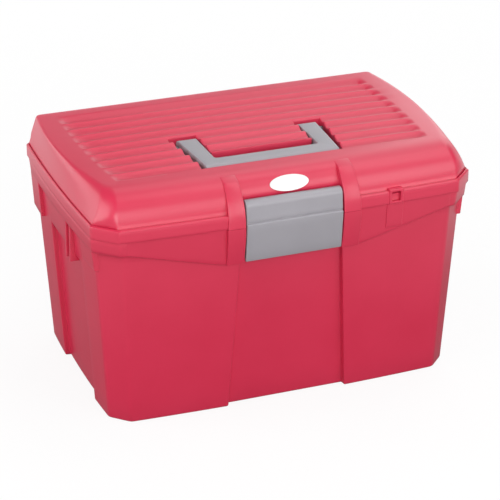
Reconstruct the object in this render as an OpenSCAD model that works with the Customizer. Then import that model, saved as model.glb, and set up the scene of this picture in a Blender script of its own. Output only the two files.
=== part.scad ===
// Horse grooming box: a tapered moulded tub with a hinged barrel-fronted lid,
// a fold-down carry handle, a swing latch and a lift-out tray.
// Millimetres. X runs to the right, Y to the back and Z up. The origin is under
// the middle of the box, on the surface that it stands on.

/* [Tub] */
// Width of the base between its side walls, at the corners
base_w = 359.2; // [320:0.2:400]
// Distance from the middle of the box to the front of the base, at the corners
base_front = 116; // [105:0.5:126]
// Distance from the middle of the box to the back of the base
base_rear = 114; // [104:0.5:124]
// Size of the corner chamfers at the base
base_chamfer = 17.2; // [12:0.2:24]
// Outward lean of the walls, in millimetres per millimetre of height
wall_lean = 0.0577; // [0.04:0.0001:0.07]
// Outward bow of each end wall at its middle
side_bow = 4.3; // [2:0.1:6]
// Outward bow of the front wall at its middle
front_bow = 4.6; // [2:0.1:6]
// Height of the seam between the tub and the lid
seam_z = 201; // [190:1:215]
// Thickness of the moulded walls
wall_t = 2.6; // [2:0.1:3.2]
// Thickness of the floor
floor_t = 3; // [2.4:0.1:4]
// Depth of the hollow under the floor
foot_h = 1.6; // [1:0.1:2]
// Width of the band that the base stands on
foot_w = 16; // [10:0.5:24]

/* [Rim and ribs] */
// Height of the collar under the seam
collar_h = 15; // [10:0.5:20]
// How far the collar stands out from the wall at the seam
collar_out = 4.2; // [3:0.1:5]
// How much less the collar and the lugs stand out for each millimetre further down
collar_lean = 0.036; // [0.02:0.001:0.05]
// Height of the lower edge of the front apron beside the latch
apron_z = 162; // [156:0.5:172]
// Distance from the strips beside the latch at which the apron starts to climb
apron_run = 3.2; // [0.5:0.1:20]
// Distance from the middle at which the apron meets the collar
apron_end = 168; // [140:0.5:172]
// Height of the lower end of the rear lugs
rear_lug_z = 149; // [140:0.5:165]
// Height of the lower end of the front lugs
front_lug_z = 165; // [155:0.5:175]
// Distance from the middle to the inner end of the lugs
lug_from = 72; // [66:0.5:90]
// Distance from the middle to the outer end of the lugs
lug_to = 107; // [98:0.5:108]
// Thickness of each hanging rib on the end walls
rib_t = 3.4; // [3:0.2:8]
// Distance between the two hanging ribs
rib_gap = 12.8; // [10:0.2:22]
// Distance in front of the middle of the first hanging rib
rib_first = 29.4; // [15:0.2:34]
// Height of the lower end of the hanging ribs
rib_z = 148; // [140:0.5:160]

/* [Wall panels] */
// Gap between the latch's lower end and the sides of the front panel
panel_gap = 2.9; // [1.9:0.1:5]
// How much wider the front panel is on each side at the base than under the latch
panel_flare = 9.2; // [4:0.2:14]
// Depth of the front panel
panel_depth = 7.2; // [5:0.2:9]
// Depth of the panel in each end wall
end_panel_depth = 6; // [4:0.2:7]
// Distance in front of the middle at which the end panel starts
end_panel_front = 58.5; // [50:0.5:64]
// Distance behind the middle at which the end panel ends
end_panel_rear = 44; // [36:0.5:56]
// Height of the top of the end panel, where it has run out
end_panel_z = 156; // [140:1:160]

/* [Lid] */
// How far the lid's band stands out past the wall at the ends
rim_out_side = 4.5; // [4.3:0.1:6]
// How far the lid's band stands out past the wall at the front
rim_out_front = 6.2; // [5:0.1:7.4]
// How far the lid's band stands out past the wall at the back
rim_out_rear = 4.7; // [4.4:0.1:6]
// Size of the corner chamfers of the band
rim_chamfer = 22; // [18:0.5:26]
// Height of the band
band_h = 14; // [10:0.5:18]
// Distance from the band's outer face to the foot of the dome
lip_w = 4; // [3:0.2:5]
// Depth of the groove between the lip and the dome
lip_groove = 1.6; // [0.8:0.1:2.5]
// Height of the dome above the band
dome_h = 30; // [24:0.5:36]
// Extra height of the middle of the top
crown = 2.5; // [1:0.1:4]
// Width of the top at its back corners
top_w_rear = 369.6; // [340:0.2:376]
// Width of the top at its front corners
top_w_front = 357; // [330:0.2:370]
// Distance from the middle of the box to the front edge of the top
top_front = 104; // [101:0.5:108]
// Distance from the middle of the box to the back edge of the top
top_rear = 111; // [104:0.5:116]
// Size of the corner chamfers of the top
top_chamfer = 8; // [5:0.5:14]
// Outward bow of the sides of the top
top_bow = 9.9; // [5:0.1:11]
// Clearance between the tub and the lid at the seam
seam_gap = 0.3; // [0.3:0.05:0.6]

/* [Top ribs] */
// Distance from one rib of the top to the next
top_rib_pitch = 18; // [16:0.1:19]
// Most grooves between the ribs
top_rib_count = 10; // [7:1:10]
// Least width of the smooth border behind the ribs
top_rib_border = 13; // [12:0.5:30]
// Depth of the grooves
top_rib_depth = 3.4; // [2:0.1:4]
// How far the rib crests lie under the smooth border
top_rib_sink = 0.4; // [0.3:0.05:0.8]
// Distance from the middle of the box to the front end of the ribbed field
top_rib_front = 87.4; // [85.2:0.2:96]
// Half length of the ribs
top_rib_half = 171; // [150:0.5:172]
// Length over which each groove runs out at its ends
top_rib_run = 9; // [6:1:24]

/* [Carry handle] */
// Half width of the handle at its hinge, outside
handle_half = 74.2; // [70:0.2:78]
// Half width of the handle at its grip, outside
handle_half_front = 69; // [66:0.2:72]
// Half width of the handle's opening
handle_inner = 54.4; // [50:0.2:58]
// Distance from the middle of the box to the front of the grip
handle_front = 84; // [80:0.2:88]
// Width of the grip from front to back
grip_w = 20.3; // [16:0.1:22]
// Radius of the grip's upper front edge
grip_round = 8; // [4:0.5:9]
// Thickness of the handle
handle_t = 15; // [12:0.2:16]
// Distance in front of the middle of the handle's axis
handle_axis_y = 11; // [8:0.2:14]
// Side gap between the handle's arms and the walls of its well, at the hinge
well_side_gap = 7.8; // [4:0.2:10]
// Gap between the arms and the raised middle of the well
well_inner_gap = 1.7; // [1:0.1:3]
// Gap in front of the grip
well_front_gap = 0.8; // [0.7:0.05:2]
// Gap behind the arms
well_rear_gap = 3; // [2.4:0.1:5]
// Finger gap between the grip and the raised middle
finger_gap = 14; // [12:0.2:20]
// Depth of the well under the handle
well_depth = 28; // [24:0.5:30]
// Depth of the hollow under the handle
handle_hollow = 11; // [6:0.2:12]
// Wall of the hollow under the handle
handle_wall = 3.2; // [2.4:0.1:5]
// Radius of the handle's pins
handle_pin_r = 2.5; // [1.5:0.1:3.2]

/* [Latch] */
// Half width of the latch
latch_half = 49.7; // [47:0.1:51]
// Gap between the latch and the cheeks beside it
latch_gap = 1; // [0.6:0.1:1.6]
// Distance in front of the middle of the latch's axis
latch_axis_y = 130.4; // [129.5:0.1:131]
// Height of the latch's axis
latch_axis_z = 219.6; // [218:0.1:222]
// Radius of the latch's rolled upper edge
latch_roll_r = 6.4; // [5:0.1:6.6]
// Height of the latch's lower edge
latch_low_z = 163.2; // [160:0.2:168]
// Height of the crease across the latch
latch_crease_z = 203.4; // [198:0.2:208]
// Distance from the middle to the latch's face at the crease
latch_crease_y = 138.4; // [137.6:0.1:139]
// Distance from the middle to the latch's face at its lower edge
latch_low_y = 135.2; // [134:0.1:136.4]
// Height of the step at the crease
latch_step = 0.6; // [0.3:0.1:1]
// Thickness of the latch
latch_t = 2.8; // [2:0.1:3.4]
// Radius of the latch's pin
latch_pin_r = 1.5; // [1:0.1:2]
// Width of the strips beside the latch
strip_w = 18.1; // [14:0.1:22]
// Distance from the middle to the face of the strips at the seam
strip_y = 139.5; // [138.6:0.1:140]

/* [Hinges] */
// Distance from the end of the base to the middle of each hinge
hinge_inset = 54.6; // [45:0.2:80]
// Length of each hinge
hinge_len = 60; // [44:1:70]
// Length of the lid's knuckle
knuckle_len = 29; // [20:0.5:34]
// Radius of the knuckles
knuckle_r = 4.5; // [4:0.1:4.6]
// Distance from the band's back to the hinge axis
hinge_out = 4.7; // [4.6:0.1:6]
// Radius of the hinge pins
hinge_pin_r = 2.2; // [1.5:0.1:2.6]
// How far each end of a hinge pin stands out of its knuckles
pin_proud = 0.6; // [0.2:0.1:1]
// Side clearance between the knuckles
knuckle_gap = 0.5; // [0.4:0.05:1]

/* [Padlock socket] */
// Distance from the middle to the middle of the socket
socket_x = 106.4; // [90:0.2:125]
// Width of the socket's hole
socket_w = 9.6; // [7:0.1:12]
// Width of the raised frame round the socket
socket_frame = 15.6; // [13:0.2:20]
// Depth of the socket
socket_depth = 8; // [5:0.1:8.6]
// Width of the boss under the socket on the tub
boss_w = 18; // [14:0.2:24]
// Height of the lower end of that boss
boss_z = 175; // [168:0.5:185]

/* [Badge] */
// Length of the oval badge
badge_l = 40; // [30:0.5:46]
// Height of the oval badge along its slope
badge_h = 16; // [12:0.5:18]
// Thickness of the badge
badge_t = 1.4; // [0.8:0.1:2]

/* [Tray] */
// Height of the underside of the tray
tray_z = 142; // [120:1:160]
// Thickness of the tray's walls
tray_t = 2.2; // [1.6:0.1:3]
// Thickness of the tray's rim
tray_rim_t = 2.6; // [2:0.1:4]
// Side clearance between the tray and the tub
tray_gap = 0.7; // [0.5:0.1:1.5]
// Further inset of the tray's walls from the tub at the rim
tray_inset = 4; // [3:0.2:8]
// Further inset of the tray's walls at its floor
tray_draft = 3.5; // [2:0.2:8]
// Distance of the two partitions of the rear half from the middle
partition_x = 62; // [40:1:90]
// Height of the top of the tray's grip web
web_z = 197; // [192:0.5:199]
// Half length of the raised part of the grip web
web_half = 66; // [58:1:80]
// Length of the hand hole in the web
hand_hole_l = 92; // [80:1:100]
// Height of the hand hole in the web
hand_hole_h = 20; // [16:0.5:24]

/* [Fits] */
// Radial clearance of a pin in the piece that turns on it
run_clear = 0.05; // [0.02:0.01:0.1]
// Radial clearance of a pin in the piece that holds it
hold_clear = 0.02; // [0.01:0.01:0.05]

/* [Hidden] */
$fn = 48;
PINK = [0.80, 0.21, 0.33];
GREY = [0.66, 0.65, 0.67];
STEEL = [0.75, 0.76, 0.78];
WHITE = [0.96, 0.97, 0.96];
TRAY_GREY = [0.60, 0.60, 0.62];
FRONT_STEPS = 8;
SIDE_STEPS = 6;
FAR = 400;
collar_z = seam_z - collar_h;
lid_z = seam_z + seam_gap;
band_z = seam_z + band_h;
top_z = band_z + dome_h;
handle_z = top_z;
well_z = top_z - well_depth;
rim_half = base_w / 2 + wall_lean * seam_z + rim_out_side;
rim_front = base_front + wall_lean * seam_z + rim_out_front;
rim_rear = base_rear + wall_lean * seam_z + rim_out_rear;
channel_half = latch_half + latch_gap;
strip_half = channel_half + strip_w;
apron_flat = strip_half + apron_run;
panel_half_top = latch_half + panel_gap;
panel_half = panel_half_top + panel_flare;
channel_half_top = channel_half + 3;
channel_floor_y = latch_axis_y - latch_roll_r - 0.4;
handle_axis_z = handle_z - handle_t / 2;
well_half = handle_half + well_side_gap;
well_half_front = handle_half_front + 3.6;
well_front = handle_front + well_front_gap;
well_rear = handle_axis_y - handle_t / 2 - well_rear_gap;
middle_half = handle_inner - well_inner_gap;
middle_front = handle_front - grip_w - finger_gap;
rib_room = top_rib_front + top_rear - top_rib_border;
rib_count = min(top_rib_count, floor(rib_room / top_rib_pitch));
field_half = top_rib_pitch * rib_count / 2;
field_y = field_half - top_rib_front;
field_edge = 0.8;
hinge_x = base_w / 2 - hinge_inset;
hinge_y = rim_rear + hinge_out;
hinge_z = seam_z + seam_gap / 2;
badge_y = top_front + 17;
badge_z = top_z - 12;
badge_slope = 57;
latch_pin_end = strip_half - 4;
tray_rim_z = collar_z + 0.2;
tray_front = base_front + wall_lean * collar_z - panel_depth + front_bow - 2 * wall_t - 0.5;

// Value between a and b at the fraction t
function mix(a, b, t) = a + (b - a) * t;

// Height of a bow of height b at the fraction t of its half length
function bow(t, b) = b * (1 - t * t);

// Outline of the box in plan, anticlockwise from the left end of its front: half widths at the front
// and back corners, distances to front and back, corner chamfers, and the bows of sides and front
function plan(wf, wr, front, rear, cf, cr, bow_side, bow_front) = let (
    nx = wf - cf,
    y0 = cf - front,
    y1 = rear - cr,
    right = [for (i = [0:SIDE_STEPS]) let (t = i / SIDE_STEPS)
        [mix(wf, wr, t) + bow(2 * t - 1, bow_side), mix(y0, y1, t)]]
) concat(
    [for (i = [0:FRONT_STEPS]) let (t = 2 * i / FRONT_STEPS - 1) [nx * t, -front - bow(t, bow_front)]],
    right,
    [[wr - cr, rear], [cr - wr, rear]],
    [for (i = [SIDE_STEPS:-1:0]) [-right[i].x, right[i].y]]
);

// The tub's wall outline at a height, moved outwards by out
function wall_plan(z, out) = let (
    lean = wall_lean * z + out,
    c = mix(base_chamfer, rim_chamfer, z / seam_z)
) plan(base_w / 2 + lean, base_w / 2 + lean, base_front + lean, base_rear + lean, c, c, side_bow, front_bow);

// How far the collar, apron, ribs and lugs stand out at a height
function collar_at(z) = collar_out - collar_lean * (seam_z - z);

// The lid's band outline, moved inwards
function rim_plan(inset) = plan(rim_half - inset, rim_half - inset, rim_front - inset, rim_rear - inset,
    rim_chamfer - inset * 0.4, rim_chamfer - inset * 0.4, side_bow, front_bow);

// The dome's outline between its foot and the edge of the top: s, f and r are the fractions of the way
// in at the sides, front and back
function dome_plan(s, f, r, inset) = plan(
    mix(rim_half - lip_w, top_w_front / 2, mix(s, f, 0.25)) - inset,
    mix(rim_half - lip_w, top_w_rear / 2, s) - inset,
    mix(rim_front - lip_w, top_front, f) - inset,
    mix(rim_rear - lip_w, top_rear, r) - inset,
    mix(rim_chamfer - lip_w * 0.4, top_chamfer, f),
    mix(rim_chamfer - lip_w * 0.4, top_chamfer, r),
    mix(side_bow, top_bow, s), front_bow);

// Profile of the dome from its foot to the edge of the top: fraction of the height, then the fractions
// of the way in at the sides, at the barrel front and at the back
DOME = [[0, 0, 0, 0], [0.22, 0.18, 0.07, 0.18], [0.46, 0.40, 0.175, 0.40], [0.70, 0.60, 0.345, 0.62],
    [0.83, 0.72, 0.53, 0.75], [0.94, 0.86, 0.77, 0.88], [1, 1, 1, 1]];

// Height of the crowned field over a point, level with the border at the field's edges
function top_at(x, y) =
    top_z + crown * (1 - pow(x / top_rib_half, 2)) * (1 - pow((y - field_y) / field_half, 2));

// An outline lifted to a height
function ring(outline, z) = [for (p = outline) [p.x, p.y, z]];

// A rectangle lifted to a height
function box_ring(x0, x1, y0, y1, z) = [[x0, y0, z], [x1, y0, z], [x1, y1, z], [x0, y1, z]];

// Solid through a stack of rings that have the same number of points, closed by flat ends
module loft(rings) {
    n = len(rings[0]);
    m = len(rings);
    near_half = [for (i = [0:m - 2]) for (j = [0:n - 1]) let (k = (j + 1) % n)
        [i * n + j, (i + 1) * n + j, (i + 1) * n + k]];
    far_half = [for (i = [0:m - 2]) for (j = [0:n - 1]) let (k = (j + 1) % n)
        [i * n + j, (i + 1) * n + k, i * n + k]];
    floor_face = [for (j = [0:n - 1]) j];
    top_face = [for (j = [n - 1:-1:0]) (m - 1) * n + j];
    polyhedron(
        points = [for (r = rings) for (p = r) p],
        faces = concat(near_half, far_half, [floor_face], [top_face]),
        convexity = 8
    );
}

// Solid between an upper and a lower surface, each given as a height over the grid point i, j
module grid_solid(xs, ys, upper, lower) {
    m = len(xs);
    n = len(ys);
    c = m * n;
    cells = [for (i = [0:m - 2]) for (j = [0:n - 2]) [i, j]];
    at = function (i, j) i * n + j;
    quads = [for (q = cells) let (i = q[0], j = q[1])
        [at(i, j), at(i, j + 1), at(i + 1, j + 1), at(i + 1, j)]];
    top_faces = [for (q = quads) for (t = [[q[0], q[1], q[2]], [q[0], q[2], q[3]]]) t];
    floor_faces = [for (t = top_faces) [t[2] + c, t[1] + c, t[0] + c]];
    edge = concat(
        [for (j = [0:n - 2]) [at(0, j + 1), at(0, j)]],
        [for (i = [0:m - 2]) [at(i, 0), at(i + 1, 0)]],
        [for (j = [0:n - 2]) [at(m - 1, j), at(m - 1, j + 1)]],
        [for (i = [0:m - 2]) [at(i + 1, n - 1), at(i, n - 1)]]
    );
    wall_faces = [for (e = edge) for (t = [[e[0], e[1], e[1] + c], [e[0], e[1] + c, e[0] + c]]) t];
    polyhedron(
        points = concat(
            [for (i = [0:m - 1]) for (j = [0:n - 1]) [xs[i], ys[j], upper(i, j)]],
            [for (i = [0:m - 1]) for (j = [0:n - 1]) [xs[i], ys[j], lower(i, j)]]),
        faces = concat(top_faces, floor_faces, wall_faces),
        convexity = 12
    );
}

// A profile drawn as [y, z] points, carried along X from x0 to x1
module along_x(x0, x1, profile) {
    translate([x0, 0, 0]) rotate([90, 0, 90]) linear_extrude(x1 - x0) polygon(profile);
}

// A round bar along X
module bar_x(x0, x1, y, z, r) {
    translate([x0, y, z]) rotate([0, 90, 0]) cylinder(h = x1 - x0, r = r);
}

// The same shape on the right and on the left
module both_sides() {
    children();
    mirror([1, 0, 0]) children();
}

// Block that cuts the front panel into the tub, made larger all round by grow
module front_panel(grow) {
    floor_at = function (z) panel_depth - base_front - wall_lean * z - front_bow + grow;
    levels = [[-1, panel_half], [latch_low_z, panel_half_top], [seam_z + 9, channel_half]];
    loft([for (l = levels) box_ring(-l[1] - grow, l[1] + grow, -FAR, floor_at(l[0]), l[0])]);
}

// Block that cuts the panel into the right end wall, running out at its top
module end_panel(grow) {
    floor_at = function (z, d) base_w / 2 + wall_lean * z + side_bow - d - grow;
    levels = [[-1, end_panel_depth], [end_panel_z - 1.5 * end_panel_depth, end_panel_depth],
        [end_panel_z + 3, -2]];
    loft([for (l = levels)
        box_ring(floor_at(l[0], l[1]), FAR, -end_panel_front - grow, end_panel_rear + grow, l[0])]);
}

// Space inside the tub, with the backs of the panels standing into it
module tub_cavity() {
    difference() {
        union() {
            loft([for (z = [floor_t, seam_z + 9]) ring(wall_plan(z, -wall_t), z)]);
            loft([for (z = [collar_z, seam_z + 9]) ring(wall_plan(z, collar_at(z) - wall_t), z)]);
        }
        front_panel(wall_t);
        both_sides() end_panel(wall_t);
    }
}

// Body between the wall and the face of the collar, from which collar, apron, lugs and ribs are cut
module collar_body() {
    low = min(rib_z, rear_lug_z) - 5;
    loft([for (z = [low, seam_z]) ring(wall_plan(z, collar_at(z)), z)]);
}

// Shapes that choose the collar, the apron, the lugs and the hanging ribs out of that body
module collar_choice() {
    translate([-FAR, -FAR, collar_z]) cube([2 * FAR, 2 * FAR, collar_h]);
    translate([0, -base_front / 2, 0]) rotate([90, 0, 0]) linear_extrude(FAR) polygon([
        [-apron_end, collar_z + 1], [-apron_flat, apron_z],
        [apron_flat, apron_z], [apron_end, collar_z + 1]]);
    both_sides() {
        translate([base_w / 4, lug_from, rear_lug_z])
            cube([FAR, lug_to - lug_from, collar_h + collar_z - rear_lug_z]);
        translate([base_w / 4, -lug_to, front_lug_z])
            cube([FAR, lug_to - lug_from, collar_h + collar_z - front_lug_z]);
        for (i = [0:1])
            translate([base_w / 4, -rib_first - i * rib_gap, rib_z])
                cube([FAR, rib_t, collar_h + collar_z - rib_z]);
    }
}

// Strip beside the latch on the tub
module tub_strip() {
    low_y = latch_low_y - 1.6;
    back_y = base_front - panel_depth;
    along_x(channel_half, strip_half, [[-low_y, apron_z], [-strip_y + 0.6, mix(apron_z, seam_z, 0.66)],
        [-strip_y, seam_z], [-back_y, seam_z], [-back_y, apron_z]]);
}

// Boss under the padlock socket
module tub_boss() {
    face = rim_front + front_bow / 2 + 0.2;
    translate([socket_x - boss_w / 2, -face, boss_z]) cube([boss_w, face - base_front, seam_z - boss_z]);
}

// Bead on the panel that the latch's hook snaps past
module catch_bead() {
    y0 = panel_depth - base_front - wall_lean * seam_z - front_bow;
    y1 = -latch_low_y + latch_t + 4.4;
    along_x(-latch_half + 8, latch_half - 8, [[y0 + wall_t, latch_low_z + 9], [y1, latch_low_z + 12],
        [y1, latch_low_z + 14], [y0 + wall_t, latch_low_z + 18]]);
}

// Tub knuckles of one hinge, with the webs that carry them
module tub_knuckles() {
    side = (hinge_len - knuckle_len) / 2 - knuckle_gap;
    root = rim_rear - rim_out_rear - wall_t / 2;
    for (x0 = [hinge_x - hinge_len / 2, hinge_x + hinge_len / 2 - side]) {
        bar_x(x0, x0 + side, hinge_y, hinge_z, knuckle_r);
        along_x(x0, x0 + side, [[root, seam_z - collar_h + 2],
            [hinge_y + knuckle_r * 0.7, hinge_z - knuckle_r * 0.72], [hinge_y, seam_z], [root, seam_z]]);
    }
}

// Pin hole through one hinge
module hinge_bore(clear) {
    bar_x(hinge_x - hinge_len / 2 - 1, hinge_x + hinge_len / 2 + 1, hinge_y, hinge_z, hinge_pin_r + clear);
}

module tub() {
    color(PINK) difference() {
        union() {
            difference() {
                loft([ring(wall_plan(0, 0), 0), ring(wall_plan(seam_z, 0), seam_z)]);
                both_sides() end_panel(0);
            }
            intersection() {
                collar_body();
                collar_choice();
            }
            both_sides() tub_strip();
            tub_boss();
        }
        front_panel(0);
        tub_cavity();
        loft([ring(wall_plan(-1, -foot_w), -1), ring(wall_plan(foot_h, -foot_w), foot_h)]);
    }
    color(PINK) difference() {
        both_sides() tub_knuckles();
        both_sides() hinge_bore(hold_clear);
        tub_cavity();
    }
    color(PINK) catch_bead();
}

// Outside of the lid, from the seam to the flat border of the top
module lid_outside() {
    foot_z = band_z + 0.5;
    loft(concat(
        [ring(rim_plan(0), lid_z), ring(rim_plan(0), band_z - 0.8), ring(rim_plan(0.8), band_z),
            ring(rim_plan(lip_w - 2), band_z), ring(rim_plan(lip_w - 0.6), band_z - lip_groove)],
        [for (d = DOME) ring(dome_plan(d[1], d[2], d[3], 0), mix(foot_z, top_z, d[0]))]
    ));
}

// Space inside the lid
module lid_inside() {
    foot_z = band_z + 0.5;
    loft(concat(
        [ring(rim_plan(wall_t), lid_z - 1), ring(rim_plan(wall_t), band_z - 4)],
        [for (d = DOME) ring(dome_plan(d[1], d[2], d[3], wall_t), mix(foot_z, top_z, d[0]) - wall_t)]
    ));
}

// Opening in the top for the ribbed field, made larger by grow, from the height low upwards
module field_opening(grow, low) {
    translate([-top_rib_half - grow, field_y - field_half - grow, low])
        cube([2 * (top_rib_half + grow), 2 * (field_half + grow), FAR / 4]);
}

// The ribbed field: scooped grooves with sharp crests in a crowned sheet, let into the frame round the
// opening. Each groove is a parabola across, and runs out towards both its ends.
module rib_sheet() {
    n = 4 * rib_count;
    ends = [top_rib_half - top_rib_run, top_rib_half - top_rib_run / 2, top_rib_half + field_edge];
    xs = concat([-ends[2], -ends[1], -ends[0]], [for (i = [-2:2]) i / 3 * top_rib_half], ends);
    ys = [for (j = [0:n]) field_y + (2 * j / n - 1) * (field_half + field_edge)];
    fade = [for (x = xs) max(0, min(1, (top_rib_half - abs(x)) / top_rib_run))];
    dip = [for (j = [0:n]) let (p = j % 4 / 4) 4 * p * (1 - p)];
    crest = function (i, j) top_at(xs[i], ys[j]) - top_rib_sink;
    grid_solid(xs, ys, function (i, j) crest(i, j) - fade[i] * dip[j] * top_rib_depth,
        function (i, j) crest(i, j) - top_rib_depth - wall_t);
}

// Everything under the middle of the ribbed sheet's thickness
module under_ribs() {
    reach = 1.2;
    xs = [for (i = [-4:4]) i / 4 * reach * top_rib_half];
    ys = [for (j = [-4:4]) field_y + j / 4 * reach * field_half];
    grid_solid(xs, ys, function (i, j) top_at(xs[i], ys[j]) - top_rib_sink - top_rib_depth - wall_t / 2,
        function (i, j) seam_z);
}

// Outline of the handle's well in plan, made larger by grow
function well_plan(grow) = [
    [-well_half - grow, grow - well_rear], [-well_half_front - grow, -well_front - grow],
    [well_half_front + grow, -well_front - grow], [well_half + grow, grow - well_rear],
    [middle_half - grow, grow - well_rear], [middle_half - grow, grow - middle_front],
    [grow - middle_half, grow - middle_front], [grow - middle_half, grow - well_rear]];

// Floor of the channel over the latch, as [y, z] points from the top down
CHANNEL = [[4 - top_front, top_z + crown], [-top_front - 5.5, top_z - 0.5],
    [-top_front - 12.2, badge_z + 7.4], [-channel_floor_y, badge_z - 4], [-channel_floor_y, lid_z]];

// Space in front of the channel's floor, between the strips, a little wider at the top
module channel_space() {
    widths = [[seam_z - 6, channel_half], [latch_axis_z + latch_roll_r, channel_half],
        [top_z + 41, channel_half_top + 2]];
    intersection() {
        along_x(-channel_half_top - 1, channel_half_top + 1,
            concat(CHANNEL, [[-channel_floor_y, seam_z - 5], [-FAR, seam_z - 5], [-FAR, top_z + 40],
                [4 - top_front, top_z + 40]]));
        loft([for (l = widths) box_ring(-l[1], l[1], -FAR, 0, l[0])]);
    }
}

// Wall behind the channel, with its two cheeks; the channel's space is cut out of its front
module channel_wall() {
    back = [for (i = [len(CHANNEL) - 1:-1:0]) CHANNEL[i] + [wall_t, i < 3 ? -wall_t * 0.6 : 0]];
    fore = [for (c = CHANNEL) c - [wall_t, 0]];
    along_x(-channel_half_top - wall_t, channel_half_top + wall_t, concat(fore, back));
    both_sides() along_x(channel_half - 1, channel_half + wall_t, [
        [-rim_front, lid_z], [-channel_floor_y + wall_t, lid_z],
        [-channel_floor_y + wall_t, badge_z - 6], [-rim_front, badge_z - 6]]);
}

// Strip beside the latch on the lid, running up onto the dome
module lid_strip() {
    along_x(channel_half - 1, strip_half, [
        [-strip_y, lid_z], [-strip_y + 0.7, lid_z + 9], [-strip_y + 4.7, top_z - 20.5],
        [-strip_y + 12.5, top_z - 6.5], [-top_front - 15.6, top_z + 2], [3 - top_front, top_z + 0.8],
        [-top_front - 8, top_z - 6], [-channel_floor_y + 0.5, badge_z - 6],
        [-channel_floor_y - 2.4, band_z + 1], [-rim_front + 0.8, band_z - 2], [-rim_front + 0.8, lid_z]]);
}

// Frame of the padlock socket
module socket_block() {
    face = rim_front + front_bow * 0.63 + 0.9;
    translate([socket_x - socket_frame / 2, -face, lid_z + 0.4])
        cube([socket_frame, socket_depth + wall_t, socket_frame]);
}

// Lid knuckle of one hinge, with the web that carries it
module lid_knuckle() {
    x0 = hinge_x - knuckle_len / 2;
    bar_x(x0, x0 + knuckle_len, hinge_y, hinge_z, knuckle_r);
    along_x(x0, x0 + knuckle_len, [[rim_rear - wall_t / 2, lid_z + 0.4], [hinge_y, lid_z + 0.4],
        [hinge_y + knuckle_r * 0.7, hinge_z + knuckle_r * 0.72], [rim_rear - wall_t / 2, band_z - 3]]);
}

// Room in the band for the tub's knuckles of one hinge
module knuckle_room() {
    side = (hinge_len - knuckle_len) / 2 - knuckle_gap;
    for (x0 = [hinge_x - hinge_len / 2, hinge_x + hinge_len / 2 - side])
        bar_x(x0 - knuckle_gap, x0 + side + knuckle_gap, hinge_y, hinge_z, knuckle_r + 0.5);
}

module lid() {
    socket_face = rim_front + front_bow * 0.63 + 0.9;
    socket_low = lid_z + 0.4 + (socket_frame - socket_w) / 2;
    frame_low = top_z - top_rib_sink - top_rib_depth - wall_t - 1;
    color(PINK) difference() {
        union() {
            difference() {
                union() {
                    difference() {
                        lid_outside();
                        lid_inside();
                    }
                    intersection() {
                        lid_outside();
                        field_opening(wall_t, frame_low);
                    }
                }
                field_opening(0, frame_low - 1);
            }
            rib_sheet();
            intersection() {
                under_ribs();
                translate([0, 0, well_z - wall_t]) linear_extrude(FAR) polygon(well_plan(wall_t));
            }
            intersection() {
                lid_outside();
                channel_wall();
            }
            both_sides() lid_strip();
            socket_block();
            both_sides() lid_knuckle();
        }
        translate([0, 0, well_z]) linear_extrude(FAR) polygon(well_plan(0));
        channel_space();
        translate([socket_x - socket_w / 2, -socket_face - 1, socket_low])
            cube([socket_w, socket_depth + 1, socket_w]);
        both_sides() {
            hinge_bore(run_clear);
            knuckle_room();
            bar_x(middle_half - 2 * wall_t, well_half + 2 * wall_t, -handle_axis_y, handle_axis_z,
                handle_pin_r + hold_clear);
            bar_x(channel_half - 1, latch_pin_end + 1, -latch_axis_y, latch_axis_z, latch_pin_r + hold_clear);
        }
    }
}

module hinge_pin_right() {
    reach = hinge_len / 2 + pin_proud;
    color(STEEL) bar_x(hinge_x - reach, hinge_x + reach, hinge_y, hinge_z, hinge_pin_r);
}

module hinge_pin_left() {
    mirror([1, 0, 0]) hinge_pin_right();
}

module handle_pin_right() {
    x0 = middle_half - wall_t + 0.3;
    x1 = well_half + wall_t - 1.4;
    color(STEEL) bar_x(x0, x1, -handle_axis_y, handle_axis_z, handle_pin_r);
}

module handle_pin_left() {
    mirror([1, 0, 0]) handle_pin_right();
}

// Outline of the handle in plan, made smaller by inset
function handle_plan(inset) = let (
    back = -handle_axis_y + handle_t / 2,
    inner = handle_inner + inset,
    hand = grip_w - handle_front - inset
) [
    [inset - handle_half, back], [inset - handle_half_front, inset - handle_front],
    [handle_half_front - inset, inset - handle_front], [handle_half - inset, back],
    [inner, back], [inner, hand], [-inner, hand], [-inner, back]];

module carry_handle() {
    low_z = handle_z - handle_t;
    front = [for (a = [90:-18:18])
        [grip_round * (1 - cos(a)) - handle_front, handle_z - grip_round * (1 - sin(a))]];
    color(GREY) difference() {
        intersection() {
            translate([0, 0, low_z - 1]) linear_extrude(handle_t + 2) polygon(handle_plan(0));
            union() {
                bar_x(-FAR, FAR, -handle_axis_y, handle_axis_z, handle_t / 2);
                along_x(-FAR, FAR, concat([[-handle_axis_y, low_z], [-handle_axis_y, handle_z]], front,
                    [[-handle_front - 0.5, handle_z - grip_round], [-handle_front - 0.5, low_z]]));
            }
        }
        difference() {
            translate([0, 0, low_z - 1]) linear_extrude(handle_hollow + 1) polygon(handle_plan(handle_wall));
            translate([-FAR, -handle_axis_y - handle_t / 2 - handle_wall, low_z - 2])
                cube([2 * FAR, FAR, handle_t + 4]);
            for (i = [-2:2])
                translate([i * handle_half_front / 2.6 - handle_wall / 4, -handle_front, low_z - 2])
                    cube([handle_wall / 2, grip_w, handle_t + 4]);
        }
        bar_x(-handle_half - 1, handle_half + 1, -handle_axis_y, handle_axis_z, handle_pin_r + run_clear);
    }
}

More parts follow.
